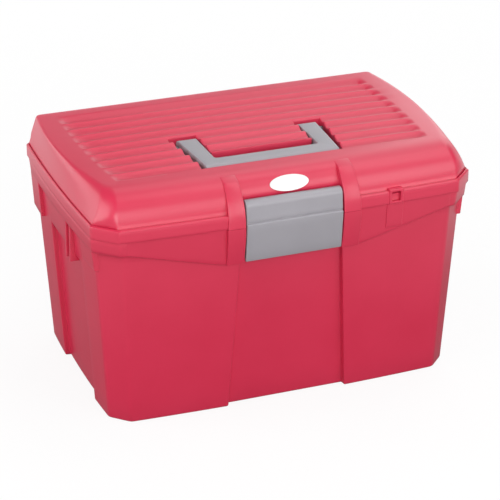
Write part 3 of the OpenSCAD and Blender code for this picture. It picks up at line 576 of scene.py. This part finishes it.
# %% Crown and grooves of the top
TOP_Z, CROWN, FIELD_HALF, FIELD_FRONT, FIELD_REAR = 245.0, 2.05, 171.0, -91.0, 101.0
RIB_FRONT, RIB_PITCH, RIB_COUNT, RIB_DEPTH, RIB_RUN = -87.4, 18.0, 10, 3.4, 11.0
RIB_REAR, LAND = RIB_FRONT + RIB_COUNT * RIB_PITCH, 0.055
BOW_BACK, BOW_MIDDLE, BOW_REACH = 8, 40, 125


def crown_at(x, y):
    """Height of the crowned field: a product of two parabolas that is level with the border at the edges."""
    mid, half = (RIB_FRONT + RIB_REAR) / 2, (RIB_REAR - RIB_FRONT) / 2
    return TOP_Z + CROWN * (1 - (x / FIELD_HALF) ** 2) * np.maximum(1 - ((y - mid) / half) ** 2, 0)


def rib_wave(y):
    """Depth of the scooped grooves: 0 on the flat land of each crest, and a parabola between the lands that
    reaches 1 in the middle. The last groove rises slowly, as 6.75 t (1 - t) squared, to meet the border."""
    p = (y - RIB_FRONT) / RIB_PITCH
    q = np.abs(p - np.round(p))
    wave = np.where(q > LAND, 1 - ((0.5 - q) / (0.5 - LAND)) ** 2, 0)
    t = np.clip((p - RIB_COUNT + 1 - LAND) / 1.2, 0, 1)
    return np.where(p <= 0, 0, np.where(p < RIB_COUNT - 1, wave, 6.75 * t * (1 - t) ** 2))


def rib_run_out(x, y):
    """Share of a groove's depth near its ends, which follow the bow of the lid's ends on a parabola."""
    ends = FIELD_HALF - BOW_BACK * ((y - BOW_MIDDLE) / BOW_REACH) ** 2
    return ease((ends - np.abs(x)) / RIB_RUN)


print("ribs:", RIB_COUNT, "from", RIB_FRONT, "to", RIB_REAR)

# %% The handle's well
WELL_Z, WELL_HALF, WELL_HALF_FRONT, WELL_FRONT, WELL_REAR = 217.0, 82.0, 72.6, -84.8, -0.5
MIDDLE_HALF, MIDDLE_FRONT, WELL_ROUND = 52.7, -49.7, 0.8


def well_outer(y, grow):
    """Half width of the well at y: its sides taper in a straight line to the front."""
    return mix(WELL_HALF_FRONT, WELL_HALF, (y - WELL_FRONT) / (WELL_REAR - WELL_FRONT)) + grow


def well_distance(x, y, grow):
    """Distance outside the well's edge, below 0 inside the well: the larger of the distance out of its
    tapered outline and the distance into the raised middle."""
    outside = np.maximum.reduce([np.abs(x) - well_outer(y, grow), y - WELL_REAR - grow, WELL_FRONT - grow - y])
    middle = np.minimum(MIDDLE_HALF - grow - np.abs(x), y - MIDDLE_FRONT - grow)
    return np.maximum(outside, middle)


def rim_drop(d):
    """How far the top falls within WELL_ROUND of the well's edge: a quarter circle."""
    r = WELL_ROUND
    return np.where(d < r, r - np.sqrt(np.maximum(r * r - (r - np.clip(d, 0, r)) ** 2, 0)), 0)


# %% Lines of the top's grid
RIM_STEPS = np.array([-0.06, 0.0, 0.12, 0.45, 1.1])
GROOVE_STEPS = np.array([0, LAND, LAND + 0.03, 0.13, 0.2, 0.3, 0.4, 0.5, 0.6, 0.7, 0.8, 0.87, 0.97 - LAND, 1 - LAND])
SOCKET_LINES = (101.6, 101.66, 106.4, 111.14, 111.2)
END_LINES = (122, 134, 146, 155, 161, 163, 164.5, 166, 167.5, 169, 170, 171)


def row_places(grow):
    """Y of the grid's lines: steps across every groove, and close lines along the well's front and rear edges."""
    rib_lines = RIB_FRONT + RIB_PITCH * (np.arange(RIB_COUNT)[:, None] + GROOVE_STEPS).ravel()
    base = np.concatenate([[FIELD_FRONT, -89.2], rib_lines, [RIB_REAR, 94.4, 96.2, 98.4, FIELD_REAR]])
    edges = np.concatenate([WELL_FRONT - RIM_STEPS, MIDDLE_FRONT + RIM_STEPS, WELL_REAR + RIM_STEPS])
    base = base[np.min(np.abs(base[:, None] - edges[None]), axis=1) > 0.1]
    return np.sort(np.concatenate([base, edges + grow * np.repeat([-1, 1, 1], len(RIM_STEPS))]))


def column_lines(y, grow, channel):
    """X of the grid's lines at each y, from the middle to the right: along the latch's channel and the raised
    middle, then along the well's outer edge, then straight."""
    inner_edge = np.interp(y, [FIELD_FRONT, WELL_FRONT - grow, MIDDLE_FRONT + grow, FIELD_REAR],
                           [channel, channel, MIDDLE_HALF - grow, MIDDLE_HALF - grow])
    outer_edge = well_outer(np.clip(y, WELL_FRONT, WELL_REAR), grow)
    lines = [0 * y + x for x in (0, 12, 24, 36, 45)]
    lines += [inner_edge - d for d in RIM_STEPS[::-1]]
    lines += [mix(inner_edge, outer_edge, t) for t in (0.3, 0.7)]
    lines += [outer_edge + d for d in RIM_STEPS]
    lines += [0 * y + x for x in (90, 97, *SOCKET_LINES, *END_LINES)]
    return np.stack(lines)


# %% Ribbed top and plain ceiling
CHANNEL_GAP, INSIDE_WELL, CEILING_GAP = 0.5, -0.03, 0.4


def top_grid(grow, inner):
    """Points of the top, columns across X and rows along Y. Outside: crown, grooves and the well with rounded
    rims. Inside: the plain ceiling under them, with the well's walls moved out by grow."""
    y = row_places(grow)
    right = column_lines(y, grow, CHANNEL_HALF + (WALL if inner else CHANNEL_GAP))
    x = np.concatenate([-right[:0:-1], right])
    y = np.broadcast_to(y, x.shape)
    d = well_distance(x, y, grow)
    if inner:
        z, well_floor = crown_at(x, y) - CEILING_GAP - RIB_DEPTH - WALL, WELL_Z - WALL
    else:
        z, well_floor = crown_at(x, y) - rib_run_out(x, y) * RIB_DEPTH * rib_wave(y) - rim_drop(d), WELL_Z
    return np.stack([x, y, np.where(d < INSIDE_WELL, well_floor, z)], -1)


top = top_grid(0.0, False)
ceiling = top_grid(WALL, True)
print("top grid:", top.shape, "ceiling:", ceiling.shape)

# %% [markdown]
# ### Dome and band
# Every outline runs along the front, the right end, the back and the left end, and takes its points from the edge
# of the top's grid. The front and the ends each have their own profile of inset and height, and the corners blend
# them. At the foot the corners are straight chamfers like the band's; higher up they turn round.

# %% Outlines of the lid
CORNER, STRAIGHT = 8, 114


def edge_ring(points):
    """The edge of a grid as one ring: front, right, back and left, with each corner point given CORNER times more."""
    sides = points[:, 0], points[-1], points[::-1, -1], points[0, ::-1]
    return np.concatenate([part for side in sides for part in (side, np.repeat(side[-1:], CORNER, axis=0))])


def bend(a, b, corner, roundness):
    """CORNER points of a parabola from a to b: roundness 0 gives the straight chamfer and 1 aims at the corner."""
    s = (np.arange(1, CORNER + 1) / (CORNER + 1))[:, None]
    middle = mix((a + b) / 2, np.array([*corner, (a[2] + b[2]) / 2]), roundness)
    p = (1 - s) ** 2 * a + 2 * s * (1 - s) * middle + s**2 * b
    p[:, 2] = mix(a[2], b[2], ease(s[:, 0]))
    return p


def lid_ring(grid, width, depth, chamfer, bow, height, roundness, channel, crease=1.0):
    """One outline whose points continue the grid's lines. width, depth and chamfer are pairs for the front and the
    rear, and height is one for the front and the rest. crease under 1 makes the front corners meet the ends at an
    angle. channel, a half width and a Y, sinks the middle of the front."""
    (wf, wr), (front, rear), (cf, cr), (z_front, z_rest) = width, depth, chamfer, height
    gx, gy = grid[:, 0, 0], grid[-1, :, 1]
    nx, nr, half = wf - cf, wr - cr, np.abs(gx)
    outer_x = mix(STRAIGHT, nx, (half - STRAIGHT) / (FIELD_HALF - STRAIGHT))
    x = np.sign(gx) * np.where(half < STRAIGHT, half, outer_x)
    y = -front - FRONT_BOW * (1 - (x / nx) ** 2)
    y = np.where(half <= channel[0] + 0.03, np.maximum(y, channel[1]), y)
    ahead = np.column_stack([x, y, np.full_like(x, z_front)])
    t = (gy - FIELD_FRONT) / (FIELD_REAR - FIELD_FRONT)
    bowed = mix(wf, wr, t) + bow * (1 - (2 * t - 1) ** 2)
    right = np.column_stack([bowed, mix(cf - front, rear - cr, t), np.full_like(t, z_rest)])
    bx = gx[::-1] / FIELD_HALF * nr
    behind = np.column_stack([bx, np.full_like(bx, rear), np.full_like(bx, z_rest)])
    left = right[::-1] * [-1, 1, 1]
    corner_x = mix(nx, wf, crease)
    return np.concatenate([
        ahead, bend(ahead[-1], right[0], (corner_x, -front), roundness),
        right, bend(right[-1], behind[0], (wr, rear), roundness),
        behind, bend(behind[-1], left[0], (-wr, rear), roundness),
        left, bend(left[-1], ahead[0], (-corner_x, -front), roundness)])


# %% Band rows
END_OUT, FRONT_OUT = 4.5, 6.2
RIM_HALF, RIM_FRONT = BASE_HALF + LEAN * SEAM_Z + END_OUT, BASE_FRONT + LEAN * SEAM_Z + FRONT_OUT
LIP_W, LIP_END, BAND_Z, LID_Z = 4.0, 2.0, 215.0, 201.3
CHANNEL_FLOOR = [(201.3, -123.6), (229.0, -123.6), (240.4, -116.2), (244.0, -110.0), (245.2, -106.0)]
# Inset and height of each row: lower edge, upright face, sloping lip and the groove behind it
BAND = [(WALL - 0.4, 201.3), (0.6, 201.3), (0.18, 201.48), (0, 201.9), (0, 204.27), (0, 204.33), (0, 209),
        (0, 213.5), (0.08, 213.69), (0.1, 213.75), (0.55, 214.1), (1.2, 214.5), (1.9, 214.85), (2.6, 215.0),
        (3.1, 214.95), (3.5, 214.6), (3.8, 214.2), (4.1, 213.7), (4.4, 213.6), (4.75, 214.2)]


def channel_floor(z, back=0.0):
    """Y of the floor of the latch's channel at a height."""
    heights, depths = np.array(CHANNEL_FLOOR).T
    return float(np.interp(z, heights, depths)) + back


def band_ring(grid, inset, z, back=0.0, wide=CHANNEL_GAP):
    """Outline of the upright band, moved in by inset; at the ends by about half of it, where the lip is narrower."""
    c = RIM_CHAMFER - inset * 0.4
    half = RIM_HALF - np.interp(inset, [0, 0.85, 4.75], [0, 0.7, 2.4])
    return lid_ring(grid, (half, half), (RIM_FRONT - inset, RIM_REAR - inset), (c, c - 4), SIDE_BOW, (z, z), 0.05,
                    (CHANNEL_HALF + wide, channel_floor(z, back)))


# %% Dome rows
TOP_W_FRONT, TOP_W_REAR, TOP_FRONT, TOP_REAR, TOP_BOW = 180.2, 185.6, 104.0, 111.0, 10.6
# From the dome's foot to the flat border: how far in, as a share of the way to the top's edge, and height
FRONT_PROFILE = [
    (0.06, 215.2), (0.08, 218.5), (0.11, 222.5), (0.16, 226.5), (0.235, 230.5), (0.335, 234.2), (0.46, 237.5),
    (0.60, 240.2), (0.76, 242.2), (0.90, 243.4), (1.05, 244.25), (1.2, 244.75), (1.35, 244.95), (1.5, 245.0)]
SIDE_PROFILE = [
    (0.05, 215.2), (0.15, 218.7), (0.245, 222.0), (0.35, 225.6), (0.455, 229.2), (0.55, 232.6), (0.65, 236.0),
    (0.735, 239.0), (0.81, 241.6), (0.865, 243.1), (0.92, 244.1), (0.99, 244.6), (1.1, 244.88), (1.3, 245.0)]
# Towards the front the ends' upper edge is rounder: the same heights with these shares
SIDE_FRONT = [0.05, 0.155, 0.255, 0.365, 0.475, 0.58, 0.69, 0.80, 0.92, 1.02, 1.12, 1.20, 1.28, 1.36]


def dome_ring(grid, k, inset, back=0.0, wide=CHANNEL_GAP):
    """Outline of the dome at row k of the profiles, moved in and down by inset for the inside."""
    (f, zf), (s, zs) = FRONT_PROFILE[k], SIDE_PROFILE[k]
    soft = ease(min(1.0, k / 3))
    foot = RIM_HALF - LIP_END
    width = mix(foot, TOP_W_FRONT, SIDE_FRONT[k]) - inset, mix(foot, TOP_W_REAR, s) - inset
    depth = mix(RIM_FRONT - LIP_W, TOP_FRONT, f) - inset, mix(RIM_REAR - LIP_W, TOP_REAR, s) - inset
    chamfer = np.interp(k, [0, 4, 9, 13], [18.5, 14.5, 10.5, 5]), np.interp(s, [0, 1], [15, 5])
    return lid_ring(grid, width, depth, chamfer, mix(SIDE_BOW, TOP_BOW, min(s, 1)), (zf - inset, zs - inset),
                    mix(0.1, 0.9, soft), (CHANNEL_HALF + wide, channel_floor(zf, back)), mix(1.0, 0.5, soft))


# %% Lid wall and padlock socket
rows = range(len(FRONT_PROFILE))
inner_rows = [edge_ring(ceiling)] + [dome_ring(ceiling, k, WALL, WALL, WALL) for k in reversed(rows)]
inner_rows += [band_ring(ceiling, WALL, z, WALL, WALL) for z in (211, LID_Z + 0.5)]
outer_rows = [band_ring(top, i, z) for i, z in BAND] + [dome_ring(top, k, 0.0) for k in rows] + [edge_ring(top)]
outer_rows = np.stack(outer_rows)

# The socket on the right: the band's points inside the square go back 8 mm
SOCKET_X, SOCKET_HALF, SOCKET_LOW, SOCKET_HIGH, SOCKET_DEPTH = 106.4, 4.77, 204.3, 213.7, 8.0
in_socket = (np.abs(outer_rows[..., 0] - SOCKET_X) < SOCKET_HALF) & (outer_rows[..., 1] < -100)
in_socket &= (outer_rows[..., 2] > SOCKET_LOW) & (outer_rows[..., 2] < SOCKET_HIGH)
outer_rows[..., 1] += np.where(in_socket, SOCKET_DEPTH, 0)
lid_wall = np.concatenate([np.stack(inner_rows), outer_rows])
print("lid wall:", lid_wall.shape, "socket points:", int(in_socket.sum()))

# %% [markdown]
# ### Strips, socket frame and lid knuckles
# The strips run up from the seam onto the dome and end in a small facet. Their inner faces follow the channel,
# which widens a little towards the top, and the outer faces lean in.

# %% Strips beside the latch
STRIP_LEVELS = [201, 226, 247]
STRIP_SIDE = [(-STRIP_Y, LID_Z), (-138.9, 210.5), (-137.2, 218), (-134.3, 224.5), (-129.9, 231.5), (-125.2, 236.8),
              (-122.0, 239.6), (-119.8, 241.1), (-118.9, 241.5), (-109.6, 243.9), (-108.6, 243.9), (-106, 243.5),
              (-106, 240), (-120, 228), (-126, 216), (-131, 213), (-131, LID_Z)]


def strip_face(low, middle, high):
    """X of a strip's side face as a function of the height, in two straight lines."""
    return lambda z: np.interp(z, STRIP_LEVELS, [low, middle, high])


strip_inner = strip_face(CHANNEL_HALF, CHANNEL_HALF + 0.3, 51.5)
strip_outer = strip_face(STRIP_HALF, STRIP_HALF - 1.3, 66.2)
lid_strip = sweep_x(STRIP_SIDE, strip_inner, strip_outer, 0.7)
print("lid strip:", len(lid_strip[0]), "points")

# %% Socket frame
# A square tube: its outline is carried back along Y, over the rounded front rim and into the hole
SOCKET_Z = (SOCKET_LOW + SOCKET_HIGH) / 2
face = -(RIM_FRONT + FRONT_BOW * 0.63 + 0.9)
tube_end = face + SOCKET_DEPTH + WALL
TUBE = [(7.2, tube_end), (7.6, tube_end - 0.4), (7.6, face + 0.6), (7.35, face + 0.16), (6.8, face), (5.5, face),
        (5.0, face + 0.15), (4.8, face + 0.6), (4.75, -134.0)]
square = np.array([(1, -1), (1, 1), (-1, 1), (-1, -1)], float)
tube_rows = []
for half, y in TUBE:
    p = soften((square * half)[None], [1.0] * 4)[0]
    tube_rows.append(np.column_stack([SOCKET_X + p[:, 0], np.full(len(p), y), SOCKET_Z + p[:, 1]]))
socket_frame = grid_shell(np.stack(tube_rows))
socket_back = fan_shell(tube_rows[0], [SOCKET_X, tube_end, SOCKET_Z], up=False)
print("socket frame:", len(socket_frame[1]), "faces")

# %% Lid knuckles and the finished lid
lid_root = RIM_REAR - WALL / 2
lid_web = [(lid_root, LID_Z + 0.4), (HINGE_Y, LID_Z + 0.4), (HINGE_Y + WEB_Y, HINGE_Z + WEB_Z), (lid_root, BAND_Z - 3)]
x0, x1 = HINGE_X - LID_KNUCKLE / 2, HINGE_X + LID_KNUCKLE / 2
lid_hinge = [sweep_x(knuckle_loop, x0, x1, 0.4), sweep_x(lid_web, x0 + 0.3, x1 - 0.3, 0.4)]
lid_shells = [grid_shell(lid_wall), grid_shell(top, wrap=False, flip=True), grid_shell(ceiling, wrap=False),
              lid_strip, mirrored(lid_strip), socket_frame, socket_back, *lid_hinge, *[mirrored(s) for s in lid_hinge]]
lid_piece = dress(make_piece("lid_skin", lid_shells, "lid_body"), PINK_PLASTIC)
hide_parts("lid")

# %% [markdown]
# ## Carry handle
# A grey U that folds into the well. A bevelled extrusion would have one rounding all round. Here the plan is lifted
# through a stack of insets, so that the front of the grip, where the fingers meet it, is rounded most. The ends of
# its arms are round about the pin. Underneath it is hollow, with five small ribs.

# %% Handle outline
PIVOT_Y, HANDLE_Z, HANDLE_T = -11.0, 245.0, 15.0
H_HALF, H_FRONT_HALF, H_IN, H_FRONT, GRIP_W, GRIP_ROUND = 74.2, 69.0, 54.4, -84.0, 20.3, 8.0
H_MID, GRIP_BACK = HANDLE_Z - HANDLE_T / 2, H_FRONT + GRIP_W
u_plan = np.array([(-H_FRONT_HALF, H_FRONT), (H_FRONT_HALF, H_FRONT), (H_HALF, PIVOT_Y), (H_IN, PIVOT_Y),
                   (H_IN, GRIP_BACK), (-H_IN, GRIP_BACK), (-H_IN, PIVOT_Y), (-H_HALF, PIVOT_Y)])
u_loop = soften(u_plan[None], [3.0, 3.0, 0, 0, 3.0, 3.0, 0, 0])[0]
at_end = np.isclose(u_loop[:, 1], PIVOT_Y)


def handle_row(z, inset, end=None):
    """The U's outline at a height, moved in by inset. The grip's upper front edge is a quarter circle of 8 mm, the
    arm ends lie on the circle about the pin, and end puts them at a Y of its own for the hollow."""
    p = inset_loop(u_loop, np.full(len(u_loop), inset))
    climb = min(max(z - (HANDLE_Z - GRIP_ROUND), 0), GRIP_ROUND)
    front = H_FRONT + GRIP_ROUND - math.sqrt(GRIP_ROUND**2 - climb**2)
    reach = math.sqrt(max((HANDLE_T / 2) ** 2 - (z - H_MID) ** 2, 0.01))
    p[:, 1] = np.maximum(p[:, 1], front)
    p[:, 1] = np.where(at_end, PIVOT_Y + reach - 0.3 * inset if end is None else end, p[:, 1])
    return np.column_stack([p, np.full(len(p), z)])


# %% Handle
HOLLOW, H_WALL, RIB_HALF = 11.0, 3.2, 0.8
LOW, hollow_end = HANDLE_Z - HANDLE_T, PIVOT_Y - HANDLE_T / 2 - H_WALL
HOLLOW_ROWS = [(LOW + HOLLOW, H_WALL + 0.6), (LOW + HOLLOW - 0.6, H_WALL), (LOW + 0.5, H_WALL),
               (LOW + 0.15, H_WALL - 0.4)]
OUTER_ROWS = [(LOW + 0.15, 0.9), (LOW + 0.4, 0.3), (LOW + 1.0, 0), (233, 0), (235.2, 0), (237, 0), (239.07, 0),
              (241, 0), (242.66, 0), (243.6, 0), (244.0, 0.1), (244.45, 0.35), (244.73, 0.65), (244.93, 1.05),
              (245, 1.5)]
handle_rows = [handle_row(z, i, hollow_end) for z, i in HOLLOW_ROWS] + [handle_row(z, i) for z, i in OUTER_ROWS]
handle_shells = [capped_shell(np.stack(handle_rows))]
y0, y1, z0, z1 = H_FRONT + 1.5, GRIP_BACK - 1.5, LOW + 0.6, LOW + HOLLOW + 0.5
for x in np.arange(-2, 3) * H_FRONT_HALF / 2.6:
    handle_shells.append(sweep_x([(y0, z0), (y1, z0), (y1, z1), (y0, z1)], x - RIB_HALF, x + RIB_HALF, 0.2))
handle_piece = dress(make_piece("handle_moulding", handle_shells, "handle_body"), GREY_PLASTIC)
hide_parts("carry_handle")

# %% [markdown]
# ## Latch
# A wide grey flap that hangs from a pin between the strips. A thickened strip would lose its rolled edge, so its
# whole section is drawn and carried along X: the roll about the pin, a flat upper part, a crease with a small
# step and a lower part that leans back in. The back carries a hook and two end walls.

# %% Latch
AXIS_Y, AXIS_Z, ROLL_R = -130.4, 219.6, 6.4
roll = np.radians(np.arange(0, 181, 15))
section = [(AXIS_Y + ROLL_R * math.cos(a), AXIS_Z + ROLL_R * math.sin(a)) for a in roll]
section += [(-137.2, 214), (-137.8, 208.5), (-138.1, 205.6), (-137.95, 204.9), (-137.25, 204.4), (-137.35, 203.9),
            (-138.5, 203.4), (-139.15, 202.8), (-139.3, 201.9), (-138.9, 196), (-137.9, 185), (-136.7, 173),
            (-135.5, 164.6), (-135.1, 163.6), (-134.3, 163.2), (-133.1, 163.4), (-132.5, 164.6), (-133.8, 175),
            (-135.2, 190), (-135.7, 202.5), (-134.0, 213), (-130.4, 213.2), (-126.4, 214.6)]
hook_y = -LATCH_LOW_Y + LATCH_T + 4
hook = [(-133.9, 166.2), (hook_y, 168.2), (hook_y, 170.2), (-134.4, 173.2)]
latch_end = [(-134.2, 163.8), (hook_y, 167.2), (AXIS_Y, AXIS_Z), (-135.8, AXIS_Z), (-136.6, 203.0)]
latch_cheek = sweep_x(latch_end, LATCH_HALF - LATCH_T, LATCH_HALF - 0.4, 0.3)
latch_shells = [sweep_x(section, -LATCH_HALF, LATCH_HALF, 0.9), sweep_x(hook, -BEAD_HALF, BEAD_HALF, 0.4)]
latch_shells += [latch_cheek, mirrored(latch_cheek)]
latch_piece = make_piece("latch_moulding", latch_shells, "latch_body", smooth=32)
dress(latch_piece, GREY_PLASTIC)
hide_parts("latch")

# %% [markdown]
# ## Badge
# A small white oval, slightly domed like a resin-filled badge, set on the slope over the latch and left plain.
# It is a stack of ellipses: a slice of a squashed ball would be too thin at the rim.

# %% Badge
BADGE_L, BADGE_H, BADGE_T, BADGE_Y, BADGE_Z = 40.0, 16.0, 1.4, -121, 233
BADGE_SLOPE = math.radians(57)
turn = np.linspace(0, 2 * np.pi, 72, endpoint=False)
share = np.array([1.0, 1.0, 0.995, 0.97, 0.9, 0.7, 0.4, 0.1])
thick = np.array([0.0, 0.75, 0.9, 1.02, 1.12, 1.25, 1.36, 1.4]) / 1.4 * BADGE_T
u = share[:, None] * BADGE_L / 2 * np.cos(turn)
v = share[:, None] * BADGE_H / 2 * np.sin(turn)
w = np.broadcast_to(thick[:, None] + 0.02, u.shape)
badge_y = BADGE_Y + v * math.cos(BADGE_SLOPE) - w * math.sin(BADGE_SLOPE)
badge_z = BADGE_Z + v * math.sin(BADGE_SLOPE) + w * math.cos(BADGE_SLOPE)
badge_shell = capped_shell(np.stack([u, badge_y, badge_z], -1))
badge_piece = dress(make_piece("badge_plate", [badge_shell], "lid_body"), WHITE_VINYL)
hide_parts("badge")

# %% [markdown]
# ## Pins and tray
# The pins and the lift-out tray keep their CAD shape. The tray gets small rounded edges from modifiers: its loose
# triangles are welded, flat areas are joined, and the edges left over are bevelled.

# %% Pins and tray
for name in ("hinge_pin_left", "hinge_pin_right", "handle_pin_left", "handle_pin_right", "latch_pin"):
    dress(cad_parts[name], STEEL_WIRE_PAINTED_SHADE)
tray = dress(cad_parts["tray"], TRAY_PLASTIC)
weld = tray.modifiers.new("weld", "WELD")
weld.merge_threshold = 0.00001
flatten = tray.modifiers.new("flatten", "DECIMATE")
flatten.decimate_type = "DISSOLVE"
flatten.angle_limit = math.radians(0.5)
round_off = tray.modifiers.new("round_off", "BEVEL")
round_off.width = 0.0006
round_off.segments = 2
round_off.limit_method = "ANGLE"
round_off.angle_limit = math.radians(40)

# %% [markdown]
# ## Floor and background
# A plain pale floor, as for a catalogue. Enough light to turn it white would bleach the box, so the floor and the
# background glow, for the camera and in reflections, and the floor still takes the shadow. Close to the box,
# reflections see less of that white: a painted shadow of the box on the floor, seen only in reflections. Bounced
# light sees greyer paper, so that the low walls keep their colour.

# %% Floor
floor_mesh = bpy.data.meshes.new("floor")
floor_mesh.from_pydata([(-8, -8, 0), (8, -8, 0), (8, 8, 0), (-8, 8, 0)], [], [(0, 1, 2, 3)])
floor = new_object("floor", floor_mesh)
material, tree, output = new_material("pale_floor")
rays = add(tree, "ShaderNodeLightPath")
glossy = add(tree, "ShaderNodeMath", {0: (rays, "Is Glossy Ray"), 1: (rays, "Is Transmission Ray")},
             operation="MAXIMUM")
# Painted shadow of the box: in reflections the floor's white glow falls from full beyond 0.62 m to 0.12 within 0.38 m.
ground = add(tree, "ShaderNodeNewGeometry")
reach = add(tree, "ShaderNodeVectorMath", {0: (ground, "Position"), 1: (0, 0.12, 0)}, operation="DISTANCE")
far = add(tree, "ShaderNodeMapRange", {
    "Value": (reach, "Value"), "From Min": 0.38, "From Max": 0.62, "To Min": 0.12, "To Max": 1.0})
glossy_share = add(tree, "ShaderNodeMath", {0: (glossy, 0), 1: (far, "Result")}, operation="MULTIPLY")
glow_share = add(tree, "ShaderNodeMath", {0: (rays, "Is Camera Ray"), 1: 0.88, 2: (glossy_share, 0)},
                 operation="MULTIPLY_ADD")
paper = add(tree, "ShaderNodeBsdfDiffuse", {"Color": linear("#F4F4F4")})
shade = add(tree, "ShaderNodeBsdfDiffuse", {"Color": linear("#747474")})
sheet = add(tree, "ShaderNodeMixShader", {0: (rays, "Is Camera Ray"), 1: (shade, 0), 2: (paper, 0)})
white = add(tree, "ShaderNodeEmission", {"Color": (1, 1, 1, 1), "Strength": 1.0})
both = add(tree, "ShaderNodeMixShader", {0: (glow_share, 0), 1: (sheet, 0), 2: (white, 0)})
tree.links.new(both.outputs[0], output.inputs["Surface"])
dress(floor, material)
print("floor:", tuple(floor.dimensions))

# %% Background
# Mirrored, the white background stands up to about 20 degrees above the floor; the room over it is dimmer.
world = bpy.data.worlds.new("studio")
bpy.context.scene.world = world
world.use_nodes = True
tree = world.node_tree
tree.nodes.clear()
rays = add(tree, "ShaderNodeLightPath")
look = add(tree, "ShaderNodeTexCoord")
height = add(tree, "ShaderNodeSeparateXYZ", {"Vector": (look, "Generated")})
dim = add(tree, "ShaderNodeMapRange", {
    "Value": (height, "Z"), "From Min": 0.25, "From Max": 0.40, "To Min": 1.0, "To Max": 0.22})
strength = add(tree, "ShaderNodeMath", {0: (rays, "Is Camera Ray"), 1: (dim, "Result")}, operation="MAXIMUM")
ambient = add(tree, "ShaderNodeBackground", {"Color": (1, 1, 1, 1), "Strength": 0.2})
backdrop = add(tree, "ShaderNodeBackground", {"Color": (1, 1, 1, 1), "Strength": (strength, 0)})
seen = add(tree, "ShaderNodeMath", {0: (rays, "Is Camera Ray"), 1: (rays, "Is Glossy Ray")}, operation="MAXIMUM")
seen = add(tree, "ShaderNodeMath", {0: (seen, 0), 1: (rays, "Is Transmission Ray")}, operation="MAXIMUM")
choose = add(tree, "ShaderNodeMixShader", {0: (seen, 0), 1: (ambient, 0), 2: (backdrop, 0)})
add(tree, "ShaderNodeOutputWorld", {"Surface": (choose, 0)})
print("background nodes:", len(tree.nodes))

# %% [markdown]
# ## Lamps
# Soft square lamps. A row of them from the rear over the top to the front lays long sheens on the ribs and the
# dome, and broad ones at the front and the left bring out the walls. One dome of light would be simpler, but it
# would flatten the ribs. The fill behind the box isn't seen in reflections, where it would wash out the top.

# %% Lamps
# Name, place in metres, height of the point it is turned to over the origin, size in metres, watts
LAMPS = [
    ("low_rear", (1.7, 1.9, 1.1), 0.2, 1.2, 7),
    ("high_rear", (0.95, 1.1, 1.9), 0.2, 1.5, 8.5),
    ("overhead", (0.9, -0.2, 2.25), 0.2, 1.3, 11),
    ("high_front", (0.95, -1.3, 1.8), 0.2, 1.5, 8),
    ("high_left", (-1.4, -0.65, 1.35), 0.2, 1.3, 5),
    ("front", (-0.6, -2.4, 0.9), 0.15, 1.6, 37),
    ("front_right", (1.2, -2.2, 0.95), 0.15, 1.4, 18),
    ("left", (-2.2, 0.3, 0.85), 0.15, 1.7, 30),
    ("left_rear", (-1.5, 1.8, 0.5), 0.2, 1.0, 4),
    ("back", (0.3, 2.5, 0.6), 0.15, 1.4, 22),
]


def lamp(name, place, aim_z, size, watts):
    """A square soft lamp at place, turned towards the point at the height aim_z over the origin."""
    data = bpy.data.lights.new(name, "AREA")
    data.shape, data.size, data.energy = "SQUARE", size, watts
    light = new_object(name, data)
    light.location = place
    x, y, z = np.array([0, 0, aim_z]) - np.array(place)
    light.rotation_euler = (math.acos(-z / math.hypot(x, y, z)), 0, math.atan2(x, -y) + math.pi)
    return light


lights = {row[0]: lamp(*row) for row in LAMPS}
lights["back"].visible_glossy = False
bpy.context.scene.view_settings.view_transform = "Standard"
print("lamps:", len(lights), "watts:", sum(row[-1] for row in LAMPS))
